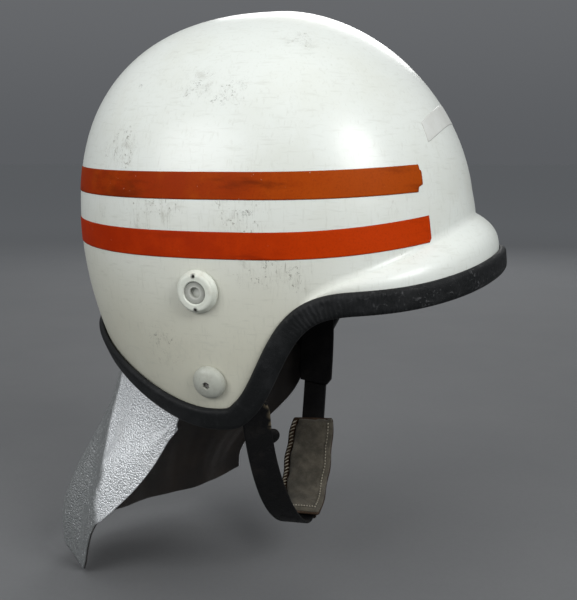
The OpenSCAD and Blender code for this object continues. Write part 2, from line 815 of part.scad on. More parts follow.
// Chin pad, inside the strap
pad_lift = -fold_r - 2 * gap;
pad_from = run_at(90);
pad_to = run_at(140);
pad_loop_l = 7;
pad_loop_t = 1.3;
function pad_round(u) = pow(max(1 - pow(abs(2 * u - 1), 8), 0), 0.25);
module pad_layer(cols, top, bottom, puff, inset) {
    function b_at(u) = angle_at(mix(pad_from, pad_to, u));
    function across(u, v) =
        let (w = pad_w * (0.93 + 0.07 * pad_round(u))) mix(inset - w / 2, w / 2, v);
    slab(cols, 7, false,
        function (u, v) loop_place(b_at(u), across(u, v), top),
        function (u, v) loop_place(b_at(u), across(u, v),
            mix(top, bottom, puff > 0 ? 0.45 + 0.55 * pow(sin(180 * u) * sin(180 * v), 0.4) : 1)));
}
module chin_pad_back() {
    color([0.3, 0.2, 0.14])
    pad_layer(15, pad_lift, pad_lift - pad_back_t, 0, 0);
}
module chin_pad_felt() {
    top = pad_lift - pad_back_t - gap;
    color([0.56, 0.53, 0.47])
    pad_layer(15, top, top - felt_t, 1, felt_inset);
}
module pad_loops() {
    color([0.12, 0.1, 0.09])
    for (s = [pad_from + 6, pad_to - pad_loop_l - 1])
        loop_sleeve(s, pad_lift + gap + pad_loop_t, strap_t / 2 + pad_loop_t, pad_loop_t, pad_loop_l);
}

// Neck curtain: rows of [angle, drop, rearward, sideways] of its hem, from the left front round to the right
hem = [
    [94, 93, 52, -17], [115, 108, 42, -17], [140, 139, 32, -10], [160, 160, 40, -3],
    [180, 170, 51, 0], [194, 168, 57, -6], [203, 171, 51, -12], [210, 174, 44, -14],
    [214, 153, 40, -12], [217, 124, 36, -10], [222, 110, 29, -7], [227, 88, 21, -6],
    [232, 65, 13, -5], [236, 40, 7, -3], [240, 15, 2, -1]];
hem_from = hem[0][0];
hem_to = hem[len(hem) - 1][0];
function hem_raw(a, k) = lookup(a, [for (h = hem) [h[0], h[k]]]);
function hem_at(a, k) = (hem_raw(a - 2.5, k) + hem_raw(a, k) + hem_raw(a + 2.5, k)) / 3;
curtain_off = -shell_t - trim_gap - trim_inner_t - 2 * gap;
// Share of the rows that follow the wall, and how far they go below its edge
tuck_share = 0.2;
tuck_below = 4;
// Share of the fall where the rearward drift ends, and how late it starts
drift_end = 0.92;
drift_curve = 1.25;

function curtain_point(u, v, off) =
    let (
        a = mix(hem_from, hem_to, u),
        z = edge_z(a),
        n = dome_normal(a, z),
        wall = on_dome(a, z + mix(curtain_tuck, -tuck_below, min(v / tuck_share, 1)), curtain_off + off),
        fall = max(v - tuck_share, 0) / (1 - tuck_share),
        side = a < 180 ? 1 : -1,
        wave = fold_depth * sin(9 * (a - 90)) * fall)
    wall + [
        -hem_at(a, 2) * pow(fade(fall / drift_end), drift_curve) + wave * n[0],
        side * hem_at(a, 3) * pow(fall, 1.2) + wave * n[1],
        -(hem_at(a, 1) - tuck_below) * fall];
module curtain_layer(outer, inner) {
    slab(37, 12, false,
        function (u, v) curtain_point(u, 1 - v, outer), function (u, v) curtain_point(u, 1 - v, inner));
}
module neck_curtain() {
    color([0.72, 0.73, 0.75])
    curtain_layer(0, -cloth_t);
}
module curtain_lining() {
    color([0.33, 0.24, 0.19])
    curtain_layer(-cloth_t - gap, -2 * cloth_t - gap);
}
stud_h = 2;
stud_lift = 5;
stud_angle = [118, 136, 155, 180, 205, 222, 237];
module curtain_studs() {
    off = curtain_off - 2 * cloth_t - 2 * gap;
    color([0.5, 0.5, 0.5])
    for (a = stud_angle)
        seat_on_shell(a, edge_z(a) + stud_lift, off)
            rotate([180, 0, 0])
                rotate_extrude()
                    polygon([[0, 0], [stud_d / 2, 0], [stud_d / 2, 0.3 * stud_h],
                        [stud_d / 2 - 1, 0.8 * stud_h], [0, stud_h]]);
}

shell();
edge_trim();
upper_stripe();
lower_stripe();
front_label();
impact_liner();
crown_cushion();
brow_band();
ear_pad_right();
ear_pad_left();
visor_socket_right();
visor_socket_left();
socket_insert_right();
socket_insert_left();
strap_cap_right();
strap_cap_left();
strap_screw_right();
strap_screw_left();
pivot_sleeve_right();
pivot_sleeve_left();
pivot_nut_right();
pivot_nut_left();
strap_right();
strap_left();
strap_guard();
strap_tab();
pad_loops();
keeper_loop();
buckle_frame();
buckle_prong();
chin_pad_back();
chin_pad_felt();
neck_curtain();
curtain_lining();
curtain_studs();
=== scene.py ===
# %% [markdown]
# A fire helmet, dressed for rendering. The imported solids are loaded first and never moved: they say
# where everything is. Each thing that shows is then made again as a smooth, detailed mesh in the same
# place, and rides on the solid body that it belongs to.
# %% Load the solid model
import bmesh
import bpy
import math
import numpy as np
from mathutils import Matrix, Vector


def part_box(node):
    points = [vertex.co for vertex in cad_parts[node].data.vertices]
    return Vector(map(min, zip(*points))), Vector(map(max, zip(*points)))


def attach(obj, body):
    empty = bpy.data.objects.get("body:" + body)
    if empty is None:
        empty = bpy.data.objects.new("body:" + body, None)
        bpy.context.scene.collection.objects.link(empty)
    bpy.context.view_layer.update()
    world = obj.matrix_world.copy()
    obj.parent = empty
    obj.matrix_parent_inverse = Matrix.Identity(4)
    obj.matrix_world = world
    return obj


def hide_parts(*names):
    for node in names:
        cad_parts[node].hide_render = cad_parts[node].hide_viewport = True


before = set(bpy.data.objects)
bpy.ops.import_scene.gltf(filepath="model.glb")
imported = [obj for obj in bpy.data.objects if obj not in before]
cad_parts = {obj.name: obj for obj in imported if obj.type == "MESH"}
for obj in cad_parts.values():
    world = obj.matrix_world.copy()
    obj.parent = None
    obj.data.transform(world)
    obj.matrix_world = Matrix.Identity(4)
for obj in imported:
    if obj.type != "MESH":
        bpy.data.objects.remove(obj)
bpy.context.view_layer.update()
MM = 0.001

# %% [markdown]
# The camera comes first. The helmet was seen from a little in front of its right side and a little
# above, from about 65 cm. The lens gives the same field of view for a picture whose long side is its
# height.
# %% Camera
TURN, PITCH, DISTANCE = math.radians(13.0), math.radians(8.705), 650.0
SENSOR, FOCAL, PICTURE_H = 36, 914.384, 600   # sensor in mm, the other two in pixels of the picture
target = np.array([0.503, 0.0, -62.665])
back = np.array([math.sin(TURN) * math.cos(PITCH), -math.cos(TURN) * math.cos(PITCH), math.sin(PITCH)])
camera_data = bpy.data.cameras.new("camera")
camera = bpy.data.objects.new("camera", camera_data)
bpy.context.scene.collection.objects.link(camera)
camera.location = (target + DISTANCE * back) * MM
camera.rotation_euler = (math.pi / 2 - PITCH, 0, TURN)
camera_data.sensor_fit = "VERTICAL"
camera_data.sensor_height = SENSOR
camera_data.lens = FOCAL * SENSOR / PICTURE_H
camera_data.clip_start = 0.01
bpy.context.scene.camera = camera
print("camera at", [round(v, 3) for v in camera.location], "lens", round(camera_data.lens, 2))

# %% [markdown]
# The shell is one smooth surface: an egg-like dome made of superellipses, with a spread front, a tucked
# back and a lip that flares into a short peak. Written as functions of the angle round the head and the
# height, the same formulas place the shell, its rubber edge, the tapes, the lining and the curtain, so
# everything fits without trial and error. Angles are in degrees from the front, sizes in millimetres.
# %% Sizes of the shell
FRONT, REAR, WIDTH, CROWN, WALL = 127.5, 142.5, 240.0, 133.5, 3.5
ROUND_FRONT, ROUND_REAR, ROUND_SIDE = 1.87, 2.4, 2.2   # powers of the superellipses: 2 is a circle
SPREAD_FRONT, TUCK_REAR, TUCK_SIDE = 9.8, 25, 11       # at 100 mm down
EDGE_FACE, EDGE_BROW, EDGE_LOBE, EDGE_NAPE = -34, -51, -127, -81
LOBE_AT, LOBE_RUN, NAPE_FROM = 18, 77, -32             # where along X the edge drops and climbs
PEAK_HALF, PEAK_H, PEAK_OUT = 84, 22, 14               # half angle, height and reach of the peak
TRIM_H, TRIM_T, TRIM_IN_H, TRIM_IN_T, TRIM_GAP = 12.5, 4.0, 8.0, 1.6, 0.5


def fade(x):
    """Smooth step from 0 to 1."""
    u = np.clip(x, 0, 1)
    return u * u * (3 - 2 * u)


def mix(a, b, f):
    return a + (b - a) * f


def signed_power(x, p):
    return np.sign(x) * np.abs(x) ** p


def unit(v):
    return v / np.maximum(np.linalg.norm(v, axis=-1, keepdims=True), 1e-9)


def cosd(a):
    return np.cos(np.radians(a))


def sind(a):
    return np.sin(np.radians(a))


print("shell", FRONT + REAR, "mm long,", WIDTH, "mm wide")

# %% [markdown]
# Seen from above, the dome is a superellipse that shrinks towards the crown. The edge runs level over
# the face, drops to a lobe at each ear and climbs again to the nape. The peak is a flare of the wall
# above the edge, strongest in front and gone at the temples.
# %% Dome, edge and peak


def arch(z, reach, fullness):
    u = np.clip(z / CROWN, 0, 1)
    return reach * (1 - u ** fullness) ** (1 / fullness)


def rear_reach(z):
    return arch(z, REAR, ROUND_REAR) - TUCK_REAR * (np.maximum(-z, 0) / 100) ** 2


def dome(a, z):
    """Point of the plain dome at angle a and height z."""
    a, z = np.broadcast_arrays(np.asarray(a, float), np.asarray(z, float))
    front = arch(z, FRONT, ROUND_FRONT) + SPREAD_FRONT * np.maximum(15 - z, 0) / 100
    side = arch(z, WIDTH / 2, ROUND_SIDE) - TUCK_SIDE * (np.maximum(-z, 0) / 100) ** 2
    c, s, p = cosd(a), sind(a), 2 / ROUND_SIDE
    reach = np.where(c > 0, front, rear_reach(z))
    return np.stack([reach * signed_power(c, p), side * signed_power(s, p), z], -1)


def edge_z(a):
    """Height of the shell's edge: over the brow, down to the ear lobe, and up again to the nape."""
    a = np.asarray(a, float)
    x = dome(a, -60.0)[..., 0]
    u = np.clip((LOBE_AT + LOBE_RUN - x) / (2 * LOBE_RUN), 0.001, 0.999)
    m = mix(3.5, 4.8, fade(u))
    step = u ** m / (u ** m + (1 - u) ** m)
    turn = np.abs(np.where(a > 180, a - 360, a))
    front = mix(EDGE_FACE, EDGE_BROW, fade(turn / 65))
    climb = np.maximum((NAPE_FROM - x) / (NAPE_FROM + rear_reach(np.float64(-60))), 0) ** 1.96
    return mix(front, EDGE_LOBE, step) + (EDGE_NAPE - EDGE_LOBE) * climb


def peak_share(a):
    return fade((cosd(a) - cosd(PEAK_HALF)) / (1 - cosd(PEAK_HALF)))


def flare(a, z):
    share = peak_share(a)
    start = edge_z(a) + TRIM_H + PEAK_H * share
    s = np.clip((start - z) / np.maximum(PEAK_H * share, 0.1), 0, 1)
    return PEAK_OUT * share * (1 - (1 - s) ** 2.8)


def shell_point(a, z):
    d = dome(a + 0.5, z) - dome(a - 0.5, z)
    out = unit(np.stack([d[..., 1], -d[..., 0], 0 * d[..., 0]], -1))
    return dome(a, z) + flare(a, z)[..., None] * out


def normal_of(surface, a, z):
    return unit(np.cross(surface(a + 0.5, z) - surface(a - 0.5, z),
                         surface(a, z + 0.3) - surface(a, z - 0.3)))


def on_shell(a, z, off):
    return shell_point(a, z) + np.asarray(off)[..., None] * normal_of(shell_point, a, z)


def on_dome(a, z, off):
    return dome(a, z) + np.asarray(off)[..., None] * normal_of(dome, a, z)


def run_along(points):
    """Length of a path up to each of its points."""
    return np.concatenate([[0], np.cumsum(np.linalg.norm(np.diff(points, axis=0), axis=1))])


fine = np.linspace(0, 360, 721)
edge_run = run_along(shell_point(fine, edge_z(fine)))


def columns(n):
    """n angles, evenly spaced along the shell's edge."""
    return np.interp(np.arange(n) * edge_run[-1] / n, edge_run, fine)


print("edge of the shell:", round(edge_run[-1]), "mm round")

# %% [markdown]
# Nearly every piece here is a grid of points: a profile carried along a path, rows from an edge to a
# crown, or two skins joined round their rims. A few helpers turn such grids into meshes with quads,
# smooth shading and a UV map that runs along and across, which some materials use for worn edges. The
# last one dresses a piece: its material, the solids it stands for and its body.
# %% Mesh helpers
INSIDE = 2.0


def build_mesh(name, points, faces, uvs=None):
    """points in millimetres, faces as index tuples, uvs one (u, v) per corner."""
    mesh = bpy.data.meshes.new(name)
    mesh.from_pydata((np.asarray(points, float) * MM).tolist(), [], faces)
    if uvs is not None:
        layer = mesh.uv_layers.new(name="UVMap")
        layer.data.foreach_set("uv", np.asarray(uvs, np.float32).ravel())
    mesh.polygons.foreach_set("use_smooth", [True] * len(mesh.polygons))
    mesh.validate()
    mesh.update()
    obj = bpy.data.objects.new(name, mesh)
    bpy.context.scene.collection.objects.link(obj)
    return obj


def closed_mesh(name, points, faces, uvs):
    """The same, with all faces turned to the outside."""
    obj = build_mesh(name, points, faces, uvs)
    bm = bmesh.new()
    bm.from_mesh(obj.data)
    bmesh.ops.recalc_face_normals(bm, faces=bm.faces)
    bm.to_mesh(obj.data)
    bm.free()
    return obj


def shifted(faces, first):
    return [tuple(first + i for i in f) for f in faces]


def grid_faces(rows, cols, close_rows, close_cols):
    """Quads of a grid whose rows and columns may be joined round, with their UVs."""
    faces, uvs = [], []
    steps_r, steps_c = rows - (not close_rows), cols - (not close_cols)
    for r in range(steps_r):
        for c in range(steps_c):
            d, e = (r + 1) % rows, (c + 1) % cols
            faces.append((r * cols + c, r * cols + e, d * cols + e, d * cols + c))
            u0, u1, v0, v1 = r / steps_r, (r + 1) / steps_r, c / steps_c, (c + 1) / steps_c
            uvs += [(u0, v0), (u0, v1), (u1, v1), (u1, v0)]
    return faces, uvs


def spread(cols, rows):
    """The two coordinates of a grid, each from 0 to 1."""
    return np.meshgrid(np.linspace(0, 1, cols), np.linspace(0, 1, rows), indexing="ij")


def loft(name, rings, closed=False):
    """rings[i] is a closed profile; they are joined in order, and capped unless the path is closed."""
    rings = np.asarray(rings, float)
    rows, cols = rings.shape[:2]
    faces, uvs = grid_faces(rows, cols, closed, True)
    if not closed:
        first, last = tuple(range(cols))[::-1], tuple(range((rows - 1) * cols, rows * cols))
        faces += [first, last]
        uvs += [(0, i / cols) for i in first] + [(1, i / cols) for i in range(cols)]
    return closed_mesh(name, rings.reshape(-1, 3), faces, uvs)


def two_skins(name, top, bottom):
    """Two grids of points of one size, joined round their rims."""
    cols, rows = top.shape[:2]
    n = cols * rows
    faces, uvs = grid_faces(cols, rows, False, False)
    border = [i * rows for i in range(cols)] + [(cols - 1) * rows + j for j in range(1, rows)]
    border += [i * rows + rows - 1 for i in range(cols - 2, -1, -1)] + list(range(rows - 2, 0, -1))
    sides = [(a, b, n + b, n + a) for a, b in zip(border, border[1:] + border[:1])]
    side_uvs = [(i % n // rows / (cols - 1), i % rows / (rows - 1)) for f in sides for i in f]
    points = np.concatenate([top.reshape(-1, 3), bottom.reshape(-1, 3)])
    return closed_mesh(name, points, faces + shifted(faces, n) + sides, uvs + uvs + side_uvs)


def cap_dome(name, outer, inner, crown_out, crown_in):
    """A dome with a wall: rings from the edge up and a point at the crown, outside and inside.
    The first UV coordinate is INSIDE more on the inner skin, so a material can tell the two apart."""
    cols = outer.shape[1]
    points, faces, uvs = [], [], []
    for skin, crown_z, shift in ((outer, crown_out, 0), (inner, crown_in, INSIDE)):
        end = len(skin) * cols
        grid, grid_uvs = grid_faces(len(skin), cols, False, True)
        grid += [(end - cols + c, end - cols + (c + 1) % cols, end) for c in range(cols)]
        grid_uvs += [(1, k / cols) for c in range(cols) for k in (c, c + 1, c)]
        faces += shifted(grid, len(points))
        uvs += [(u + shift, v) for u, v in grid_uvs]
        points += [*skin.reshape(-1, 3), [0, 0, crown_z]]
    low = len(outer) * cols + 1
    faces += [(c, (c + 1) % cols, low + (c + 1) % cols, low + c) for c in range(cols)]
    uvs += [(0, k / cols) for c in range(cols) for k in (c, c + 1, c + 1, c)]
    return closed_mesh(name, points, faces, uvs)


def levels(low, foot, rows, foot_rows):
    """Heights from an edge to the crown: foot_rows over the foot, the rest ever closer to the top."""
    r = np.arange(rows)[:, None]
    near = low + foot * r / foot_rows
    far = mix(low + foot, CROWN, sind(90 * np.maximum(r - foot_rows, 0) / (rows - foot_rows)))
    return np.where(r < foot_rows, near, far)


def dress(piece, material, slot, nodes=(), body="helmet", fill=None):
    piece.data.materials.append(material)
    if nodes:
        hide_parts(*nodes)
    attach(piece, body)


def faces_of(*pieces):
    return [len(piece.data.polygons) for piece in pieces]


print("helpers ready")

# %% [markdown]
# A material is a small picture painted with maths. Writing that maths as node names is tedious, so a
# socket is wrapped in a class on which plus, minus and times work: each adds a Math node. Every other
# node comes from one method that takes its type, its settings and what goes into its sockets. Nodes are
# added to the tree of the material that was started last.
# %% Shader maths


class Wire:
    """An output socket in the tree that is being filled, on which arithmetic works."""

    tree = None

    def __init__(self, socket):
        self.socket = socket

    @classmethod
    def node(cls, kind, settings={}, sockets={}, out=0):
        new_node = cls.tree.nodes.new("ShaderNode" + kind)
        for key, value in settings.items():
            setattr(new_node, key, value)
        for key, value in sockets.items():
            if isinstance(value, Wire):
                cls.tree.links.new(value.socket, new_node.inputs[key])
            else:
                new_node.inputs[key].default_value = value
        return cls(new_node.outputs[out])

    @classmethod
    def math(cls, operation, *values):
        return cls.node("Math", {"operation": operation}, dict(enumerate(values)))

    def __add__(self, other):
        return self.math("ADD", self, other)

    def __sub__(self, other):
        return self.math("SUBTRACT", self, other)

    def __rsub__(self, other):
        return self.math("SUBTRACT", other, self)

    def __mul__(self, other):
        return self.math("MULTIPLY", self, other)

    __radd__, __rmul__ = __add__, __mul__


node = Wire.node
print("Wire ready")

# %% [markdown]
# The patterns that all finishes share: clouds, a band between two limits, soft spots round places on
# the helmet, coats of colour laid on by masks, and layers of relief. Positions are read in the helmet's
# own frame in metres, so a pattern keeps its real size on every piece and stays still when the camera
# moves.
# %% Shared patterns


def shader_socket(key):
    return Wire.tree.nodes["Principled BSDF"].inputs[key.replace("_", " ")]


def new_material(name, **constants):
    """Starts a material; the constants go on the sockets of its Principled shader."""
    material = bpy.data.materials.new(name)
    material.use_nodes = True
    Wire.tree = material.node_tree
    for key, value in constants.items():
        shader_socket(key).default_value = value
    return material


def connect(**links):
    for key, value in links.items():
        Wire.tree.links.new(value.socket, shader_socket(key))


def place():
    return node("TexCoord", out=3)


def drawn_out(scale, turn=(0, 0, 0)):
    """The place, turned and scaled: a pattern read there is long where the scale is small."""
    return node("Mapping", {}, {"Vector": place(), "Rotation": turn, "Scale": scale})


def split(vector):
    return [node("SeparateXYZ", {}, {0: vector}, out=i) for i in range(3)]


def uv_parts():
    """u runs along the piece, v across its profile."""
    return split(node("TexCoord", out=2))[:2]


def clouds(size_mm, detail=3, rough=0.55, at=None, distortion=0.0):
    return node("TexNoise", {}, {"Vector": at or place(), "Scale": 1000 / size_mm,
                                 "Detail": detail, "Roughness": rough, "Distortion": distortion})


def cells(feature, scale, **more):
    return node("TexVoronoi", {"feature": feature}, {"Vector": place(), "Scale": scale, **more})


def band(value, low, high, to_low=0.0, to_high=1.0):
    return node("MapRange", {"interpolation_type": "SMOOTHSTEP"},
                {"Value": value, "From Min": low, "From Max": high, "To Min": to_low, "To Max": to_high})


def from_half(value):
    """How far a value is from one half."""
    return Wire.math("ABSOLUTE", value - 0.5)


def most(values):
    """The greatest of several masks."""
    result, *others = values
    for value in others:
        result = Wire.math("MAXIMUM", result, value)
    return result


def spots(places):
    """1 at each (centre in mm, radius in mm) on the helmet, fading to 0 at the radius."""
    gaps = [(radius * MM, node("VectorMath", {"operation": "DISTANCE"},
                               {0: place(), 1: [c * MM for c in centre]}, out=1))
            for centre, radius in places]
    return most([band(gap, radius, radius * 0.3) for radius, gap in gaps])


def paint(base, *coats):
    """A colour under coats of (mask, colour), each laid over the ones before it."""
    for mask, colour in coats:
        first, second = (c if isinstance(c, Wire) else (*c, 1) for c in (base, colour))
        base = node("Mix", {"data_type": "RGBA"}, {0: mask, 6: first, 7: second}, out=2)
    return base


def darker(colour, share):
    return tuple(c * share for c in colour)


def relief(*layers):
    """Bumps of (height, depth in mm), the lowest layer first."""
    under = {}
    for height, depth in layers:
        under = {"Normal": node("Bump", {}, {"Height": height, "Strength": 1.0, "Distance": depth * MM,
                                             **under})}
    return under["Normal"]


print("patterns ready")

# %% [markdown]
# The shell was laid up by hand in glass fibre and sprayed white, and it has been used. Its paint is off
# white, a little warmer and greyer towards the bottom and the back, with fine scuffs that run every way,
# a few dark scratches and specks. The wall has an outer and an inner skin, joined at the edge.
# %% Shell
shell_cols = columns(360)
foot = TRIM_H + PEAK_H * peak_share(shell_cols)
outer = on_shell(shell_cols, levels(edge_z(shell_cols), foot, 84, 20), 0)
inner = on_shell(shell_cols, levels(edge_z(shell_cols), foot, 40, 10), -WALL)
shell = cap_dome("shell_skin", outer, inner, CROWN, CROWN - WALL)

# Places that are scuffed and places with short dark strokes: centre in mm, radius in mm
SCUFFS = [((-33, -98, 80), 17), ((-8, -102, 76), 13), ((-58, -112, 6), 30), ((0, -120, 5), 22),
          ((8, -119, -27), 18), ((29, -117, -30), 16), ((-53, -106, -77), 20), ((25, -75, 107), 14),
          ((-83, -97, 42), 22), ((40, 80, 80), 25), ((-90, 80, -30), 30), ((-125, 0, 40), 30),
          ((60, 100, -20), 20)]
STROKES = [((-32, -99, 77), 9), ((-17, -104, 71), 8), ((-8, -101, 78), 6), ((3, -120, 4), 6),
           ((-58, -112, 9), 6), ((-7, -119, 18), 5), ((-75, -84, 82), 6), ((18, -117, -24), 8),
           ((30, -116, -29), 6), ((-60, -104, -72), 7)]


def scratches(size_mm, turn, thin=0.004):
    """Long thin lines in one direction: noise stretched a great deal, cut at its middle value."""
    lines = clouds(size_mm, 2, 0.5, drawn_out((1.0, 1.0, 0.06), turn))
    return band(from_half(lines), thin, thin * 0.25)


def fibres(size_mm, rough):
    """Strands that run up and strands that run level."""
    return most([clouds(size_mm, 3, rough, drawn_out(scale))
                 for scale in ((1, 1, 0.16), (0.16, 0.16, 1))])


white = new_material("shell_white", Roughness=0.3, Coat_Weight=0.15, Coat_Roughness=0.15)
x, _, z = split(place())
low = band(z + 0.03 * clouds(60), 0.045, -0.07) * band(x, 0.09, 0.02)
scuffed = spots(SCUFFS)
worn = most([scuffed * 0.9, band(clouds(38, 3, 0.6, distortion=0.4), 0.60, 0.72) * 0.6])
marks = most([scratches(4.2, (0.5, 0.3, 0.2)), scratches(5.3, (2.1, 0.9, 1.3)),
              scratches(3.6, (1.2, 2.2, 0.4)), scratches(6.1, (0.1, 1.4, 2.6), 0.003)])
marks = marks * worn * band(clouds(6, 2), 0.42, 0.6)
smudge = band(clouds(14, 5, 0.75, distortion=0.6), 0.50, 0.72) * scuffed
curl = from_half(clouds(5.5, 4, 0.62, distortion=1.6))
strokes = band(curl, 0.014, 0.005) * band(clouds(4, 2), 0.47, 0.56) * spots(STROKES)
flakes = band(clouds(2.2, 3, 0.6), 0.60, 0.67) * scuffed * band(clouds(9, 2), 0.48, 0.60)
specks = band(clouds(1.3, 2, 0.5), 0.73, 0.79) * band(clouds(25, 2), 0.5, 0.66)
inside = band(uv_parts()[0], INSIDE - 0.6, INSIDE - 0.5)
strands = fibres(2.2, 0.7)
raw = paint((0.115, 0.098, 0.066), (band(strands, 0.45, 0.75), (0.235, 0.21, 0.155)))
base = paint((0.765, 0.80, 0.755), (low, (0.565, 0.56, 0.465)),
             (band(clouds(40, 4, 0.6), 0.40, 0.75) * 0.3, (0.64, 0.65, 0.56)),
             (band(fibres(1.9, 0.6), 0.52, 0.80) * (0.28 + 0.22 * low), (0.45, 0.455, 0.385)),
             (marks * 0.8, (0.24, 0.23, 0.19)), (smudge * 0.55, (0.38, 0.38, 0.32)),
             (strokes * 0.9, (0.10, 0.10, 0.085)), (flakes * 0.8, (0.20, 0.19, 0.15)),
             (specks * 0.5, (0.20, 0.17, 0.14)), (inside, raw))
connect(Base_Color=base,
        Roughness=0.26 + 0.16 * clouds(12, 4, 0.7) + 0.25 * marks + 0.1 * low + 0.15 * flakes,
        Normal=relief((marks + flakes, -0.06), (clouds(42, 1, 0.4), 0.45),
                      (clouds(3.2, 3, 0.6, drawn_out((0.35, 0.35, 1.0))), 0.05),
                      (clouds(2.4, 2, 0.5), 0.03), (strands * inside, 0.3)))
dress(shell, white, "shell_white", ["shell"])
print("shell faces:", faces_of(shell))

# %% [markdown]
# A rubber profile is pressed over the whole edge: a deep rounded leg outside and a thin one inside. It
# is one section carried round the edge, softened by cutting its corners twice. The rubber is nearly
# black and dusty, with a fine grain, cross wrinkles where it is bent round the tight curves, and pale
# cracks, more of them in the front part.
# %% Rubber edge


def soften(profile, times=2):
    """Cuts the corners of a closed profile."""
    p = np.asarray(profile, float)
    for _ in range(times):
        q = np.roll(p, -1, axis=0)
        p = np.stack([0.78 * p + 0.22 * q, 0.22 * p + 0.78 * q], 1).reshape(-1, 2)
    return p


def edge_frame(a):
    """Middle of the wall at the edge, with the directions out of it and up it."""
    out = normal_of(shell_point, a, edge_z(a))
    along = unit(shell_point(a + 0.4, edge_z(a + 0.4)) - shell_point(a - 0.4, edge_z(a - 0.4)))
    return on_shell(a, edge_z(a), -WALL / 2), out, np.cross(out, along)


s = WALL / 2 + 0.1
trim_profile = soften([
    [s, TRIM_H], [s + 2.2, TRIM_H + 0.1], [s + TRIM_T + 0.35, TRIM_H - 1.6], [s + TRIM_T + 0.4, 5.5],
    [s + TRIM_T + 0.3, 0.2], [s + 2.4, -2.1], [-s, -2.1], [-s - 1.9, -1.2], [-s - 2.0, 4],
    [-s - 1.5, TRIM_IN_H], [-s, TRIM_IN_H], [-s, -0.3], [s, -0.3]])
here, out, up = edge_frame(columns(560))
rings = (here[:, None] + trim_profile[None, :, :1] * out[:, None]
         + trim_profile[None, :, 1:] * up[:, None])
trim = loft("edge_rubber", rings, closed=True)

RIBS = 330    # wrinkles round the whole edge
BENDS = [((140, 0, -30), 30)] + [((x_, side * y_, z_), radius) for side in (-1, 1)
                                 for x_, y_, z_, radius in ((55, 112, -52, 34), (80, 100, -46, 26))]
rubber = new_material("black_rubber", Roughness=0.5, Specular_IOR_Level=0.2)
ribs = Wire.math("SINE", (uv_parts()[0] + 0.003 * clouds(9)) * (2 * math.pi * RIBS))
crackle = clouds(3.2, 4, 0.7, distortion=1.2)
front = band(split(place())[0] + 0.04 * clouds(25, 2), 0.07, 0.12)
base = paint((0.006, 0.0068, 0.0074),
             (band(clouds(18, 4, 0.65), 0.46, 0.7) * 0.5, (0.022, 0.023, 0.0245)),
             (band(crackle, 0.57, 0.68) * (0.15 + 0.6 * front), (0.095, 0.097, 0.10)))
connect(Base_Color=base, Roughness=0.42 + 0.2 * clouds(9),
        Normal=relief((ribs * (spots(BENDS) * 0.9 + 0.06), 0.22), (crackle * (0.3 + front), 0.5),
                      (band(cells("DISTANCE_TO_EDGE", 900.0), 0.0, 0.12), 0.06)))
dress(trim, rubber, "black_rubber", ["edge_trim"])
print("trim faces:", faces_of(trim))

# %% [markdown]
# Two strips of reflective tape run round the shell: the upper one amber brown, the lower one a redder
# orange. Each is a thin sheet that lies on the shell's own surface, with its rim turned down to it, and
# ends that are torn or clipped as on the real one. Old tape has dull patches, nicks and a dark rim.
# %% Tapes and label
TAPE_H = 16


def tape_level(a, middle, front_rise, rear_rise):
    x = dome(a, 0.0)[..., 0]
    return middle + np.where(x > 0, front_rise * np.maximum(x / 100, 0) ** 2.2,
                             rear_rise * np.maximum(-x / REAR, 0) ** 4)


def tape(name, start, end, cols, rows, level, height, thick=0.34):
    """A thin sheet on the shell. start and end give the angle at each share of the height."""
    u, v = spread(cols, rows)
    angle = mix(start(v), end(v), u)
    z = level(angle, u) + (v - 0.5) * height(u)
    rim = np.ones((cols, rows), bool)
    rim[1:-1, 1:-1] = False
    return two_skins(name, on_shell(angle, z, np.where(rim, thick * 0.45, thick)),
                     on_shell(angle, z, -0.5))


def torn(v):
    """A torn end: how far the tape falls short at each share of its height, in degrees."""
    share = [0, 0.17, 0.20, 0.23, 0.26, 0.70, 0.73, 0.78, 0.82, 0.95, 1]
    short = [2.5, 2.1, 1.9, 1.0, 0.4, 0.15, 0.2, 0.35, 0.85, 0.95, 1.1]
    return np.interp(v, share, short)


upper = tape("upper_tape", lambda v: 321.6 - torn(v), lambda v: 38.4 + torn(1 - v), 420, 33,
             lambda a, u: tape_level(a, 21, 4, 4), lambda u: TAPE_H)
lower = tape("lower_tape", lambda v: 322.75 - 0.5 * v - 5.5 * np.maximum(0.15 - v, 0),
             lambda v: 37 + 2.6 * np.maximum(0.5 - v, 0), 420, 33,
             lambda a, u: tape_level(a, -13.5, 8, 5.5), lambda u: TAPE_H)
label = tape("bare_label", lambda v: -32, lambda v: 32, 181, 31,
             lambda a, u: 65 - 13 * (2 * u - 1) ** 2,
             lambda u: 14 * 0.87 * (1 - 0.1 * np.abs(2 * u - 1) ** 40), 0.2)


def tape_material(name, rear, front, dark):
    """Old reflective tape: brighter to the front, with smudges, fine grain, nicks and a dark rim."""
    material = new_material(name, Specular_IOR_Level=0.06)
    patch = clouds(22, 4, 0.65)
    streak = clouds(30, 4, 0.6, drawn_out((0.5, 0.5, 2.2)))
    fine_grain = clouds(1.1, 2, 0.6)
    rim = band(from_half(uv_parts()[1]) * 2.0 + 0.05 * clouds(3), 0.97, 1.02)
    nicks = band(clouds(2.4, 3, 0.6), 0.70, 0.74) * band(clouds(30, 2), 0.5, 0.6)
    base = paint(rear, (band(split(place())[0] + 0.06 * patch, -0.02, 0.115), front),
                 (band(patch, 0.45, 0.72) * 0.5, front), (band(streak, 0.52, 0.72) * 0.75, dark),
                 (band(fine_grain, 0.45, 0.75) * 0.25, dark), (rim * 0.6, darker(dark, 0.5)),
                 (nicks * 0.7, (0.55, 0.42, 0.30)))
    connect(Base_Color=base, Roughness=0.42 + 0.25 * patch,
            Normal=relief((clouds(9, 2), 0.10), (fine_grain, 0.03)))
    return material


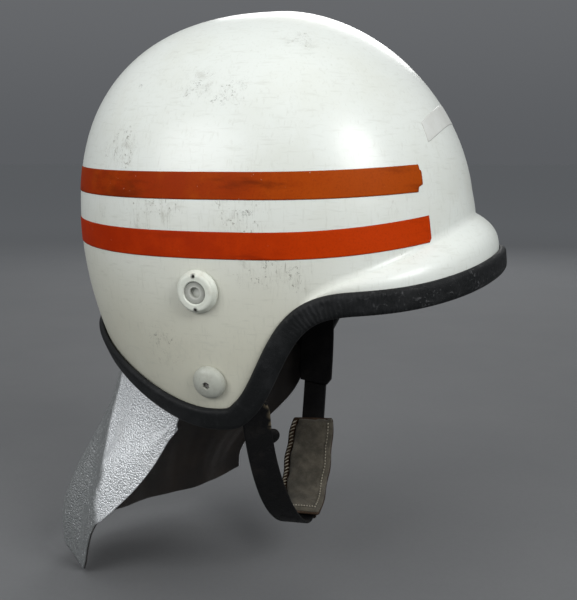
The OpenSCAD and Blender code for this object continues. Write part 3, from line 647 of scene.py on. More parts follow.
amber = tape_material("stripe_amber", (0.29, 0.026, 0.0004), (0.38, 0.058, 0.002), (0.14, 0.016, 0.0005))
red = tape_material("stripe_red", (0.35, 0.022, 0.0004), (0.50, 0.040, 0.0005), (0.20, 0.013, 0.0005))
pale = new_material("label_white", Roughness=0.32, Specular_IOR_Level=0.5)
u, v = uv_parts()
rim = most([band(from_half(v), 0.47, 0.49), band(from_half(u), 0.492, 0.497)])
base = paint((0.70, 0.715, 0.68), (band(clouds(14, 4, 0.6), 0.4, 0.7), (0.64, 0.65, 0.61)),
             (rim * 0.6, (0.36, 0.36, 0.33)))
connect(Base_Color=base, Roughness=0.25 + 0.2 * clouds(7), Normal=relief((clouds(1.2, 2), 0.02)))
dress(upper, amber, "stripe_amber", ["upper_stripe"])
dress(lower, red, "stripe_red", ["lower_stripe"])
dress(label, pale, "label_white", ["front_label"])
print("tape faces:", faces_of(upper, lower, label))

# %% [markdown]
# Inside are a thick foam liner with a flocked face, a leather band at brow height, a soft cushion in the
# crown and a pad over each ear. They use the shell's formulas again, a few millimetres further in, so
# each lies on the one behind it. The liner and the band come first, with the two finishes, leather and
# cloth, that many later pieces share.
# %% Lining: liner and band
LINER_OFF = -WALL - 0.9
LINING_OFF = LINER_OFF - 16


def liner_low(a):
    return np.maximum(-45, edge_z(a) + 16)


liner_cols = columns(200)
r = np.arange(34)[:, None]
liner_levels = mix(liner_low(liner_cols), CROWN, sind(90 * r / 34))
rounded = 4.5 * (1 - np.sqrt(1 - (1 - np.clip(r / 3, 0, 1)) ** 2))
liner = cap_dome("foam_liner", on_dome(liner_cols, liner_levels, LINER_OFF),
                 on_dome(liner_cols, liner_levels, LINING_OFF + rounded),
                 CROWN + LINER_OFF, CROWN + LINING_OFF)
band_cols = columns(260)
band_profile = soften([[0, 0], [0, 32], [-1.3, 32.3], [-2.6, 31], [-3.0, 16], [-2.6, 1], [-1.3, -0.3]], 1)
band_off, band_low = LINING_OFF - 0.75, liner_low(band_cols) + 12
rings = np.stack([on_dome(band_cols, band_low + p[1], band_off + p[0]) for p in band_profile], 1)
brow = loft("brow_leather", rings, closed=True)


def leather(name, fresh, worn, scale=1.0, rough=0.4, rubbed_at=()):
    """Leather: pebbled grain, rubbed high spots and fine creases, and places rubbed through to tan."""
    material = new_material(name, Specular_IOR_Level=0.16, Roughness=rough)
    crack = band(from_half(clouds(7 * scale, 4, 0.6, distortion=0.8)), 0.03, 0.0)
    rubbed = band(clouds(16 * scale, 4, 0.65), 0.46, 0.68)
    bare = [(spots([where]) * band(clouds(3), 0.35, 0.5), (0.20, 0.165, 0.105)) for where in rubbed_at]
    connect(Base_Color=paint(fresh, (rubbed, worn), (crack * 0.6, darker(fresh, 0.4)), *bare),
            Roughness=rough + 0.25 * rubbed,
            Normal=relief((crack, -0.15), (cells("F1", 1000 / (1.1 * scale)), -0.12 * scale)))
    return material


def woven(name, colour, other, thread_mm, soft=0.9):
    """Cloth: two sets of threads over and under, with fuzz and uneven colour."""
    material = new_material(name, Roughness=soft, Sheen_Weight=0.25, Sheen_Roughness=0.5)
    x, y, z = split(place())
    step = 2 * math.pi / (thread_mm * MM)
    weave = Wire.math("SINE", (x + y) * step) * Wire.math("SINE", (z - y * 0.5) * step)
    fuzz = clouds(thread_mm * 0.8, 3, 0.7)
    base = paint(colour, (band(clouds(20, 4, 0.6), 0.35, 0.7), other),
                 (band(weave, -0.8, 0.2, 0.45, 0.0), darker(colour, 0.5)))
    connect(Base_Color=base, Roughness=soft - 0.1 * fuzz,
            Normal=relief((fuzz, thread_mm * 0.3), (weave, thread_mm * 0.18)))
    return material


dress(liner, woven("liner_foam", (0.045, 0.045, 0.05), (0.075, 0.075, 0.08), 0.7), "liner_foam",
      ["impact_liner"], fill=0.9)
dress(brow, leather("band_leather", (0.115, 0.055, 0.024), (0.19, 0.10, 0.05)), "band_leather",
      ["brow_band"])
print("liner and band faces:", faces_of(liner, brow))

# %% [markdown]
# The cushions are first drawn at their resting size and then blown up by a short run of cloth pressure,
# which gives them the tight, slightly uneven face of real padding. No point may move further than a
# limit, so they still fit. The crown cushion is sewn afterwards, along six spokes and a ring.
# %% Lining: cushions


def read(obj, what):
    values = np.zeros((len(obj.data.vertices), 3), np.float32)
    obj.data.vertices.foreach_get(what, values.ravel())
    return values


def move_to(obj, points):
    obj.data.vertices.foreach_set("co", points.astype(np.float32).ravel())
    obj.data.update()


def swell(obj, voxel_mm, cap_mm, pressure=4.0, frames=20):
    """Blows a closed pad up with cloth pressure and keeps every point within cap_mm of where it was."""
    scene = bpy.context.scene
    bpy.context.view_layer.objects.active = obj
    for other in bpy.context.selected_objects:
        other.select_set(False)
    obj.select_set(True)
    remesh = obj.modifiers.new("even", "REMESH")
    remesh.mode, remesh.voxel_size = "VOXEL", voxel_mm * MM
    bpy.ops.object.modifier_apply(modifier=remesh.name)
    start = read(obj, "co")
    cloth = obj.modifiers.new("blow", "CLOTH")
    cloth.settings.use_pressure = True
    cloth.settings.uniform_pressure_force = pressure
    cloth.settings.effector_weights.gravity = 0
    cloth.settings.quality = 5
    cloth.point_cache.frame_start, cloth.point_cache.frame_end = 1, frames
    for frame_number in range(1, frames + 1):
        scene.frame_set(frame_number)
    move = read(obj.evaluated_get(bpy.context.evaluated_depsgraph_get()), "co") - start
    obj.modifiers.remove(cloth)
    scene.frame_set(1)
    size = np.linalg.norm(move, axis=1, keepdims=True)
    move_to(obj, start + move * np.minimum(1, cap_mm * MM / np.maximum(size, 1e-9)))
    finer = obj.modifiers.new("smooth", "SUBSURF")
    finer.levels = finer.render_levels = 1
    bpy.ops.object.modifier_apply(modifier=finer.name)
    obj.data.polygons.foreach_set("use_smooth", [True] * len(obj.data.polygons))
    obj.data.update()
    return obj


PAD_OFF = LINING_OFF - 1.5


def ear_point(u, v, depth, side):
    a = mix(98.0, 133.0, u)
    return on_dome(a, mix(edge_z(a) + 10, -37, v), depth) * np.array([1, side, 1])


u, v = spread(26, 30)
face_depth = PAD_OFF - 4.2 * (0.3 + 0.7 * (np.abs(sind(180 * u) * sind(180 * v)) ** 0.5))
pads = [swell(two_skins("ear_cushion_" + name, ear_point(u, v, PAD_OFF, side),
                        ear_point(u, v, face_depth, side)), 2.4, 0.9)
        for side, name in ((-1, "right"), (1, "left"))]

CUSHION_LOW, CUSHION_T = 64.0, 7
crown_cols = np.linspace(0, 360, 96, endpoint=False)
crown_levels = mix(CUSHION_LOW, CROWN, sind(90 * np.arange(14)[:, None] / 14))
puffed = CUSHION_T * np.clip((crown_levels - CUSHION_LOW) / (CROWN - CUSHION_LOW), 0, 1) ** 0.35
crown = cap_dome("crown_pad", on_dome(crown_cols, crown_levels, PAD_OFF),
                 on_dome(crown_cols, crown_levels, PAD_OFF - 1 - puffed * 0.85),
                 CROWN + PAD_OFF, CROWN + PAD_OFF - CUSHION_T)
crown = swell(crown, 4.0, 1.2)


def sew(obj, distance_of, depth_mm, reach_mm):
    """Pulls the surface in along seams; distance_of tells how far each point is from one, in mm."""
    co = read(obj, "co")
    inward = depth_mm * np.exp(-(distance_of(co / MM) / reach_mm) ** 2) * MM
    move_to(obj, co - read(obj, "normal") * inward[:, None])


def crown_seams(p):
    spoke = np.radians(60)
    a = np.arctan2(p[:, 1], p[:, 0])
    off = np.abs((a + spoke / 2) % spoke - spoke / 2)
    radius = np.hypot(p[:, 0], p[:, 1])
    return np.minimum(off * radius, np.abs(radius - 34))


sew(crown, crown_seams, 1.6, 3.0)
dress(crown, woven("cushion_cloth", (0.03, 0.028, 0.028), (0.06, 0.055, 0.052), 0.9), "cushion_cloth",
      ["crown_cushion"], fill=0.5)
pad_skin = leather("pad_cloth", (0.018, 0.017, 0.016), (0.045, 0.042, 0.038))
for pad, name in zip(pads, ("ear_pad_right", "ear_pad_left")):
    dress(pad, pad_skin, "pad_cloth", [name], fill=0.7)
print("cushions:", faces_of(crown, *pads))

# %% [markdown]
# The turned and moulded parts keep the shapes of the solid model: the visor sockets with their grey
# inserts, the caps over the strap screws, and the steel screws, sleeves, nuts and press studs. They get
# grime in patches and a little rust that show age, a grey cap colour that is painted shade, a paler ring
# round each pivot bore with painted light in its middle, and painted shade in the key holes.
# %% Small hard parts


def moulded(name, colour, dirt, rough=0.35, metal=0.0, grime_mm=5.0, rust=0.0, bores=(), holes=()):
    material = new_material(name, Roughness=rough, Metallic=metal)
    cloud = band(clouds(grime_mm, 4, 0.65), 0.44, 0.7)
    coats = [(cloud * 0.6, dirt)]
    if rust:
        coats.append((band(clouds(2.6, 4, 0.6), 0.6, 0.66) * rust, (0.16, 0.055, 0.02)))
    # Round each pivot bore: a paler ring, and in its middle painted light where the deep bore would be in
    # shade.
    for bore in bores:
        coats += [(spots([(bore, 7.0)]), (0.50, 0.51, 0.465)),
                  (spots([(bore, 4.6)]), (0.92, 0.94, 0.88))]
    # Dark spots at the key holes: painted shade.
    coats += [(spots([(hole, 2.3)]), (0.035, 0.035, 0.03)) for hole in holes]
    connect(Base_Color=paint(colour, *coats), Roughness=rough + 0.25 * cloud,
            Normal=relief((clouds(0.8, 2, 0.6), 0.02)))
    return material


PIVOTS = [(-28.06, side * 121.05, -41.42) for side in (-1, 1)]
KEY_HOLES = [(x_, side * y_, z_) for side in (-1, 1)
             for x_, y_, z_ in ((-28.47, 121.94, -31.47), (-27.65, 120.16, -51.37))]
steel = moulded("steel", (0.44, 0.43, 0.42), (0.16, 0.12, 0.09), 0.34, 1.0, 4.0, 0.3)
hard = {
    "visor_socket": moulded("socket_white", (0.69, 0.72, 0.64), (0.56, 0.56, 0.48), holes=KEY_HOLES),
    "socket_insert": moulded("insert_grey", (0.31, 0.32, 0.285), (0.20, 0.205, 0.18), bores=PIVOTS),
    # The cap is as white as the shell; its colour is set to a grey as painted shade.
    "strap_cap": moulded("cap_white", (0.43, 0.445, 0.39), (0.33, 0.33, 0.285), rust=0.08),
    "pivot_sleeve": moulded("sleeve_pale", (0.62, 0.63, 0.57), (0.42, 0.42, 0.36)),
    "strap_screw": steel, "pivot_nut": steel, "curtain_studs": steel}
kept = []
for name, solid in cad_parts.items():
    finish = hard.get(name) or hard.get(name.rsplit("_", 1)[0])
    if finish:
        solid.data.materials.clear()
        solid.data.materials.append(finish)
        kept.append(name)
print("kept from the solid model:", kept)

# %% [markdown]
# The chin strap hangs as one loop: down from the right anchor, under the chin and up to the left one.
# The loop is a curve with a direction across it and a direction out of it at every point, so a strap is
# just a rounded section carried along it. It was modelled directly, because simulation spoils flat straps.
# %% The strap's loop
ANCHOR_X, ANCHOR_Z, LOOP_HALF, DROP = -23.5, -97.5, 93.52, 127.0
LOOP_ROUND, LEAN, SAG_FRONT = 1.66, 27, 6        # power of the loop; how far it hangs to the front
STRAP_W, STRAP_T, WIRE, BUCKLE_L = 18.0, 2.2, 2.6, 17.0
GAP, WIRE_GAP = 0.3, 0.6                         # between leathers, and round the wire
TONGUE, LOOP_WALL = 26, 1.3


def loop_point(b):
    fall = np.maximum(sind(b), 0) ** (2 / LOOP_ROUND)
    lean = (LEAN - 3.5 * np.maximum(cosd(b), 0) ** 2) * (1 - (1 - np.minimum(fall / 0.2, 1)) ** 2)
    return np.stack([ANCHOR_X + lean + SAG_FRONT * fall ** 3,
                     -LOOP_HALF * signed_power(cosd(b), 2 / LOOP_ROUND), ANCHOR_Z - DROP * fall], -1)


def loop_frame(b):
    """Point, across, along and out at each angle b of the loop."""
    b = np.asarray(b, float)
    inside = np.clip(b, 0.4, 179.6)
    t = unit(loop_point(inside + 0.4) - loop_point(inside - 0.4))
    x = unit(np.array([1.0, 0, 0]) - t[..., :1] * t)
    y = np.cross(t, x)
    turn = np.where(b < 90, -32 * fade((b - 8) / 14) * (1 - fade((b - 34) / 46)), 0)[..., None]
    across = cosd(turn) * x + sind(turn) * y
    return loop_point(b), across, t, np.cross(t, across)


steps = np.arange(181.0)
lengths = run_along(loop_point(steps))


def run_at(b):
    return float(np.interp(b, steps, lengths))


def angle_at(s):
    return np.interp(s, lengths, steps)


def at_run(s, points):
    """Points given as (across, along, out) from the loop at run s."""
    p, x, t, n = (v[0] for v in loop_frame(angle_at(np.array([s]))))
    q = np.asarray(points, float)
    return p + q[..., :1] * x + q[..., 1:2] * t + q[..., 2:] * n


def flat_profile(width, thick, edge, n=5):
    """A flat section with rounded edges, as (across, out) points."""
    e = min(edge * thick, thick / 2)
    t = np.linspace(0, 90, n)
    corner = np.stack([cosd(t), sind(t)], -1) * e
    w, h = width / 2 - e, thick / 2 - e
    return np.concatenate([corner + [w, h], corner[::-1] * [-1, 1] + [-w, h],
                           corner * [-1, -1] + [-w, -h], corner[::-1] * [1, -1] + [w, -h]])


def strap_piece(name, s0, s1, lift, share):
    """A strap from run s0 to s1, with its lift and its share of the full width at each run."""
    s = np.arange(s0, s1 + 0.8, 1.6)
    s[-1] = s1
    section = flat_profile(STRAP_W, STRAP_T, 0.42)
    across, out = section[:, 0] * share(s)[:, None], section[:, 1] + lift(s)[:, None]
    p, x, t, n = loop_frame(angle_at(s))
    beyond = np.minimum(s, 0) + np.maximum(s - lengths[-1], 0)   # straight on past the ends
    p = p + beyond[:, None] * t
    return loft(name, p[:, None] + across[..., None] * x[:, None] + out[..., None] * n[:, None])


loop_end = run_at(180)
heel_s = run_at(117)
fold_r = WIRE / 2 + WIRE_GAP + 1
ride_h = fold_r + GAP + STRAP_T / 2
lap = STRAP_T + GAP
print("loop length:", round(loop_end), "mm, heel bar at", round(heel_s))

# %% [markdown]
# The right strap ends in a tongue that climbs over the buckle and lies on the left strap, which starts
# as two skived folds round the buckle's heel bar. The guard is a wide flap inside the left strap, the
# tab lies under the right one, and bands of leather go round the strap to hold the tongue and the pad.
# %% Straps, guard, tab and loops


def round_end(d):
    """Share of the full width, d millimetres inside the tip of a strap whose end is a half circle."""
    half = STRAP_W / 2
    return np.sqrt(np.clip(1 - (1 - np.clip(d, 0.02, half) / half) ** 2, 0, None))


def tongue_lift(s):
    d = s - heel_s
    return np.where(d < 0, ride_h * fade((d + 13) / 9), mix(ride_h, lap, fade((d - 4) / 8)))


END = STRAP_W / 2                  # the straps' round ends pass the anchors by this
tongue_end = heel_s + TONGUE
left_start = heel_s + fold_r + GAP
right = strap_piece("chin_strap_right", -END, tongue_end, tongue_lift,
                    lambda s: np.minimum(round_end(s + END), round_end(tongue_end - s)))
left = strap_piece("chin_strap_left", left_start - 0.4, loop_end + END, lambda s: 0 * s,
                   lambda s: round_end(loop_end + END - s))


def heel_fold(name, a0, a1):
    """One half of the skived leather that turns round the heel bar, beside the prong."""
    turned = [(2.1 * sind(-x), 2.1 * cosd(x)) for x in np.linspace(0, 180, 19)]
    path = np.array([(7.5, 0.62), (4.5, 1.5)] + turned + [(4.5, -1.5), (7.5, -0.62)])
    along = unit(np.gradient(path, axis=0))
    side = np.stack([-along[:, 1], along[:, 0]], -1) * 0.45
    rings = [[(a0, *(q + d)), (a1, *(q + d)), (a1, *(q - d)), (a0, *(q - d))]
             for q, d in zip(path, side)]
    return loft(name, at_run(heel_s, rings))


folds = [heel_fold("heel_fold_a", -9, -1.9), heel_fold("heel_fold_b", 1.9, 9)]


def guard_path(h):
    """Middle of the guard at height h above the anchor: like the loop, but without its lean."""
    fall = np.maximum(-h, 0) / DROP
    y = LOOP_HALF * (1 - fall ** LOOP_ROUND) ** (1 / LOOP_ROUND)
    return np.stack([ANCHOR_X + LEAN + SAG_FRONT * fall ** 3, y, ANCHOR_Z + h], -1)


def guard_point(u, v, out):
    """The guard's flap, with its two lower corners cut."""
    h = mix(mix(-43.5, -46.5, v), mix(-2.0, 9.0, v), u)
    up = unit(guard_path(h + 0.5) - guard_path(h - 0.5))
    away = unit(np.cross(up, [1.0, 0, 0]))
    bowed = 0.8 * np.sin(np.pi * u) ** 2 * (2 * v - 1) ** 2
    across = mix(-13.5 + 1.8 * np.maximum(1 - u / 0.2, 0), 13.5 - 3.5 * np.maximum(1 - u / 0.08, 0), v)
    return guard_path(h) + across[..., None] * np.array([1.0, 0, 0]) + (out + bowed)[..., None] * away


GUARD_GAP, GUARD_T = 0.6, 2.0
u, v = spread(48, 24)
guard = two_skins("leather_guard", guard_point(u, v, -STRAP_T / 2 - GUARD_GAP),
                  guard_point(u, v, -STRAP_T / 2 - GUARD_GAP - GUARD_T))


def tab_mesh(s0, r, base):
    """A short tab under the right strap, with its round end showing in front of it."""
    reach = STRAP_W / 2 + r
    t = np.linspace(-90, 90, 15)
    outline = np.concatenate([[[-6, r], [-6, -r]], np.stack([reach - r + r * cosd(t), r * sind(t)], -1)])
    middle = outline.mean(0)
    rings = []
    for inset, lift in ((0.5, 0.0), (0.1, 0.3), (0, 0.8), (0.1, 1.3), (0.5, 1.6)):
        q = middle + (outline - middle) * (1 - inset / 8)
        rings.append([(a, b, base + lift) for a, b in q])
    return loft("strap_tab", at_run(s0, rings))


tab = tab_mesh(57.0, 5.5, -STRAP_T / 2 - 0.9 - 1.6)


def band_round(name, s0, lo, hi, wall, length):
    """A leather band round the strap: a thin rounded section carried round a rectangle."""
    half = STRAP_W / 2 + GAP + wall / 2
    low_, high_ = lo - wall / 2, hi + wall / 2
    r = min(1.6, (high_ - low_) / 2)
    t = np.linspace(0, 90, 6)
    arc = np.stack([cosd(t), sind(t)], -1) * r
    path = np.concatenate([
        arc[::order] * [sx, sy] + [sx * (half - r), (high_ - r) if sy > 0 else (low_ + r)]
        for sx, sy, order in ((1, 1, 1), (-1, 1, -1), (-1, -1, 1), (1, -1, -1))])
    ahead = unit(np.roll(path, -1, 0) - np.roll(path, 1, 0))
    normal = np.stack([ahead[:, 1], -ahead[:, 0]], -1)
    section = flat_profile(length, wall, 0.45, 3)
    rings = [[((q + d * m)[0], e, (q + d * m)[1]) for e, d in section] for q, m in zip(path, normal)]
    return loft(name, at_run(s0 + length / 2, rings), closed=True)


keeper = band_round("leather_keeper", tongue_end - 12, -STRAP_T / 2 - 0.5,
                    lap + STRAP_T / 2 + 0.5, 1.6, 6)
PAD_FROM, PAD_TO = run_at(90), run_at(140) + 3
pad_lift = -fold_r - WIRE_GAP
loops = [band_round("pad_loop_" + which, s0, pad_lift + GAP + LOOP_WALL,
                    STRAP_T / 2 + LOOP_WALL, LOOP_WALL, 7)
         for which, s0 in (("low", PAD_FROM + 6), ("high", PAD_TO - 11))]
print("straps and guard:", faces_of(right, left, guard))

# %% [markdown]
# The buckle is bent from round steel wire: a frame with a heel bar, and a prong that turns on that bar
# and rests on the front bar. Both are tubes along short paths, because that is how wire gets its shape,
# and the soft bend at each corner shows more than any edge would.
# %% Buckle and prong


def tube(name, path, radius, closed=False, sides=14):
    """A round tube along points; radius is one number or one for each point."""
    path = np.asarray(path, float)
    radius = np.broadcast_to(radius, len(path))
    if closed:
        ahead = unit(np.roll(path, -1, 0) - np.roll(path, 1, 0))
    else:
        ahead = unit(np.gradient(path, axis=0))
    turn = np.arange(sides) * 360 / sides
    side = np.cross(ahead[0], [0.3, 0.5, 0.8])
    rings = []
    for p, t, r in zip(path, ahead, radius):
        side = side - np.dot(side, t) * t
        side /= np.linalg.norm(side)
        rings.append(p + r * (cosd(turn)[:, None] * side + sind(turn)[:, None] * np.cross(t, side)))
    return loft(name, rings, closed)


# The frame is drawn flat, with tight corners at the heel bar, and tilted to rest on the strap.
front_rise = STRAP_T / 2 + WIRE / 2 + WIRE_GAP
bar_half = STRAP_W / 2 + WIRE_GAP + WIRE / 2
tilt_f = math.atan(front_rise / BUCKLE_L)
flat_path = []
for sx, cy, start in ((1, 0, 0), (-1, 0, 90), (-1, -BUCKLE_L, 180), (1, -BUCKLE_L, 270)):
    corner_r = 1.4 if cy == 0 else 3.2
    mx, my = sx * (bar_half - corner_r), cy + (corner_r if cy < 0 else -corner_r)
    flat_path += [(mx + corner_r * cosd(start + t), my + corner_r * sind(start + t))
                  for t in np.linspace(0, 90, 8)]
frame_path = [(x_, y_ * math.cos(tilt_f), -y_ * math.sin(tilt_f)) for x_, y_ in flat_path]
buckle = tube("buckle_wire", at_run(heel_s, frame_path), WIRE / 2 * 0.98, closed=True, sides=16)

# The prong rises from its ring over the front bar, sags a little and ends in a rounded tip.
ROD_R, RING_R = 1.1, 2.2
hole_r = WIRE / 2 + GAP
rise = front_rise + WIRE / 2 + WIRE_GAP + ROD_R
reach = math.hypot(BUCKLE_L + 2, rise)
tilt_p = math.asin((rise - hole_r) / reach)
along_p = np.linspace(0, reach, 26)
sag = 0.35 * np.sin(np.pi * along_p / reach)
rod_path = np.stack([0 * along_p, -along_p * math.cos(tilt_p),
                     hole_r + along_p * math.sin(tilt_p) - sag], -1)
rod_r = np.interp(along_p, [0, 3, reach - 2, reach - 0.6, reach], [ROD_R, ROD_R, 0.95, 0.75, 0.3])
rod = tube("prong_rod", at_run(heel_s, rod_path), rod_r)
rings = [[(a, RING_R * cosd(t) * (1 + d / RING_R), RING_R * sind(t) * (1 + d / RING_R))
          for a, d in flat_profile(3.0, 1.15, 0.45, 4)] for t in np.linspace(0, 360, 28, endpoint=False)]
prong_ring = loft("prong_ring", at_run(heel_s, rings), closed=True)
print("buckle at", [round(v) for v in at_run(heel_s, [0, 0, 0])], "mm")

# %% [markdown]
# The chin pad has a leather back and a felt face, sewn together round the edge, and two leather loops
# hold it inside the strap. The felt is blown up by the same cloth simulation as the other cushions, with
# a groove along the seam. Its stitches are short bowed threads, each a little out of line.
# %% Chin pad


def pad_round(u):
    return np.maximum(1 - np.abs(2 * u - 1) ** 8, 0) ** 0.25


def pad_point(u, v, depth, inset=0.0):
    p, x, _, n = loop_frame(angle_at(mix(PAD_FROM, PAD_TO, u)))
    half = 35 * (0.93 + 0.07 * pad_round(u)) / 2
    rear = 1.6 * sind(180 * u) ** 2 + 0.5 * sind(1300 * u) - 4.5 * (1 - fade(u / 0.3))
    rear = rear - 2.0 * fade((u - 0.8) / 0.2)
    front = 3.0 * (1 - fade(u / 0.7)) + 0.4 * sind(1100 * u + 40)
    across = mix(inset - half - rear, half - front, v)
    return p + across[..., None] * x + np.asarray(depth)[..., None] * n


BACK_T, FELT_T = 1.55, 5 * 0.86
u, v = spread(60, 22)
back_pad = two_skins("pad_leather", pad_point(u, v, pad_lift), pad_point(u, v, pad_lift - BACK_T))
felt_top = pad_lift - 1.6 - GAP
u, v = spread(60, 26)
puff = 0.35 + 0.65 * np.abs(sind(180 * u) * sind(180 * v)) ** 0.45
puff = puff * (1 - 0.35 * np.exp(-((v - 0.87) / 0.035) ** 2))
puff = puff * (1 - 0.12 * np.abs(sind(1500 * u + 500 * v)))
felt_u, felt_v = mix(-0.008, 0.994, u), mix(0.01, 1.015, v)
felt = swell(two_skins("pad_felt", pad_point(felt_u, felt_v, felt_top, 4.0),
                       pad_point(felt_u, felt_v, felt_top - FELT_T * puff, 4.0)), 1.4, 0.6)


def stitches(name, ends, thick, lift):
    """Short threads, each from one point to another and bowed up a little, in one mesh."""
    points, faces, uvs = [], [], []
    tube_faces, tube_uvs = grid_faces(6, 6, False, True)
    for first, last, up in ends:
        side = np.cross(unit(last - first), up)
        faces += shifted(tube_faces, len(points))
        uvs += tube_uvs
        for f in np.linspace(0, 1, 6):
            centre = mix(first, last, f) + up * lift * math.sin(math.pi * f)
            radius = thick * (0.35 + 0.65 * math.sin(math.pi * f) ** 0.4)
            points += [centre + radius * (cosd(q) * side + sind(q) * up) for q in np.arange(6) * 60]
    return closed_mesh(name, points, faces, uvs)


def pad_thread(u0, v0, u1, v1, inner):
    """One stitch on the pad: inner is its height over the leather back, towards the chin."""
    def over(u, v, off):
        return pad_point(np.array([u]), np.array([v]), pad_lift - BACK_T - off)[0]
    return over(u0, v0, inner), over(u1, v1, inner), unit(over(u0, v0, 1.0) - over(u0, v0, 0.0))


rng = np.random.default_rng(7)


def near(value, reach):
    return value + rng.uniform(-reach, reach)


whip = [pad_thread(near(q, 0.004), 0.012, q + 0.024, near(0.105, 0.012), 0.15)
        for q in np.arange(0.06, 0.95, 0.034)]
seam = [pad_thread(q, near(0.9, 0.006), q + 0.018, near(0.9, 0.006), 4.4)
        for q in np.arange(0.05, 0.95, 0.03)]
low_seam = [pad_thread(near(0.03, 0.004), q, near(0.03, 0.004), q + 0.05, 3.6)
            for q in np.arange(0.18, 0.88, 0.075)]
threads = stitches("pad_threads", whip + seam + low_seam, 0.42, 0.5)
print("chin pad:", faces_of(back_pad, felt), "stitches:", len(whip + seam + low_seam))

# %% [markdown]
# Each of these parts gets its own finish: black strap leather that is rubbed through to tan in places,
# browner leather for the pad and the loops, wool felt with rubbed and smudged spots whose colours are
# darkened as painted shade, and bright steel with a little tarnish. All except the prong swing with the
# strap.
# %% Finishes of the strap
strap_leather = leather("strap_leather", (0.005, 0.005, 0.0055), (0.011, 0.010, 0.0095), 0.8, 0.5,
                        [((9.5, -90, -113), 6), ((11, -85, -121), 6.5), ((10.5, -82, -129), 6)])
pad_leather = leather("pad_leather", (0.034, 0.020, 0.012), (0.070, 0.044, 0.028), 0.9, 0.45)
loop_leather = leather("loop_leather", (0.03, 0.022, 0.017), (0.09, 0.06, 0.04), 0.7, 0.4)
wire_steel = moulded("buckle_steel", (0.55, 0.54, 0.52), (0.24, 0.20, 0.16), 0.28, 1.0, 3.0, 0.15)
thread_white = woven("linen_thread", (0.50, 0.46, 0.36), (0.28, 0.25, 0.18), 0.5, 0.8)

RUBBED = [((22, 54, -152), 14), ((20, 28, -215), 13), ((-8, 46, -185), 10)]
felt_grey = new_material("felt", Roughness=0.95, Sheen_Weight=0.15, Sheen_Roughness=0.6)
hair = clouds(0.7, 4, 0.75, drawn_out((1.0, 0.25, 1.0), (0.4, 0.9, 0.3)), 1.5)
mottled = clouds(9, 5, 0.7)
smudge = spots([((8, 38, -172), 17)]) * band(clouds(5, 4, 0.6), 0.35, 0.6)
# The felt's colours are set darker than the felt is: painted shade.
base = paint((0.041, 0.035, 0.023), (band(mottled, 0.35, 0.68), (0.092, 0.080, 0.057)),
             (band(hair, 0.55, 0.8) * 0.35, (0.26, 0.235, 0.185)),
             (smudge * 0.75, (0.028, 0.025, 0.020)),
             (spots(RUBBED) * band(hair, 0.35, 0.6) * 0.6, (0.25, 0.225, 0.17)))
connect(Base_Color=base, Normal=relief((mottled, 0.5), (hair, 0.35)))

dressed = [
    (threads, thread_white, None), (right, strap_leather, "strap_leather", ["strap_right"]),
    (left, strap_leather, "strap_leather", ["strap_left"]),
    (folds[0], strap_leather, "strap_leather"), (folds[1], strap_leather, "strap_leather"),
    (guard, strap_leather, "strap_leather", ["strap_guard"]),
    (tab, strap_leather, "strap_leather", ["strap_tab"]),
    (keeper, loop_leather, "strap_leather", ["keeper_loop"]),
    (loops[0], loop_leather, "pad_leather", ["pad_loops"]), (loops[1], loop_leather, "pad_leather"),
    (buckle, wire_steel, "buckle_steel", ["buckle_frame"])]
for row in dressed:
    dress(*row, body="chin_strap")
dress(felt, felt_grey, "felt", ["chin_pad_felt"], "chin_strap", 0.6)
dress(back_pad, pad_leather, "pad_leather", ["chin_pad_back"], "chin_strap", 0.3)
dress(rod, wire_steel, "buckle_steel", ["buckle_prong"], "prong")
dress(prong_ring, wire_steel, "buckle_steel", body="prong")
print("strap pieces:", len(dressed) + 4)

# %% [markdown]
# The neck curtain is two layers: silvered cloth outside and brown lining inside, both pressed on behind
# the edge. It follows the shell's wall first, then hangs straight down in shallow folds, longest at the
# back. It is a formula with a table of how far the hem hangs, so it meets the shell all the way round.
# %% Neck curtain
# Each row: angle, how far the hem hangs, and how far it moves back and sideways
HEM = np.array([
    [94, 93, 52, -17], [115, 108, 42, -17], [140, 139, 32, -10], [160, 160, 40, -3], [180, 170, 51, 0],
    [194, 168, 57, -6], [203, 171, 51, -12], [210, 174, 44, -14], [214, 153, 40, -12], [217, 124, 36, -10],
    [222, 110, 29, -7], [227, 88, 21, -6], [232, 65, 13, -5], [236, 40, 7, -3], [240, 15, 2, -1]], float)
CURTAIN_FROM, CURTAIN_TO, FOLD_AT, HELD = 94.0, 240.0, 204, 0.2   # HELD is the share behind the edge
CURTAIN_OFF = -WALL - TRIM_GAP - TRIM_IN_T - 0.6


def hem_at(a, k):
    return sum(np.interp(a + d, HEM[:, 0], HEM[:, k]) for d in (-2.5, 0, 2.5)) / 3


def curtain_point(u, v, off, wrinkle=0.0):
    a = mix(CURTAIN_FROM, CURTAIN_TO, u)
    z = edge_z(a)
    n = normal_of(dome, a, z)
    wall = on_dome(a, z + mix(9.5, -4.0, np.minimum(v / HELD, 1)), CURTAIN_OFF + off)
    fall = np.maximum(v - HELD, 0) / (1 - HELD)
    past = a - FOLD_AT - 17 * fade((fall - 0.2) / 0.5)
    fold = np.clip(1 - np.abs(past) / np.where(past > 0, 22, 15), 0, 1)
    fold = np.sqrt(fold ** 2 + 0.006) - 0.0775
    wave = 3 * sind(9 * (a - 90)) * fall * (1 - fold) + 9.5 * fold * fade(fall * 1.6)
    drift = -hem_at(a, 2) * fade(fall / 0.92) ** 1.25
    side = np.where(a < 180, 1, -1) * hem_at(a, 3) * fall ** 1.2
    move = np.stack([drift + wave * n[..., 0], side + wave * n[..., 1], -(hem_at(a, 1) - 4) * fall], -1)
    small = wrinkle * fade(fall * 4) * (0.5 * sind(a * 41 + 260 * fall) * sind(a * 13 - 320 * fall + 40)
                                        + 0.5 * sind(a * 23 + 700 * fall) * sind(a * 29 + 90 * fall))
    return wall + move + small[..., None] * n


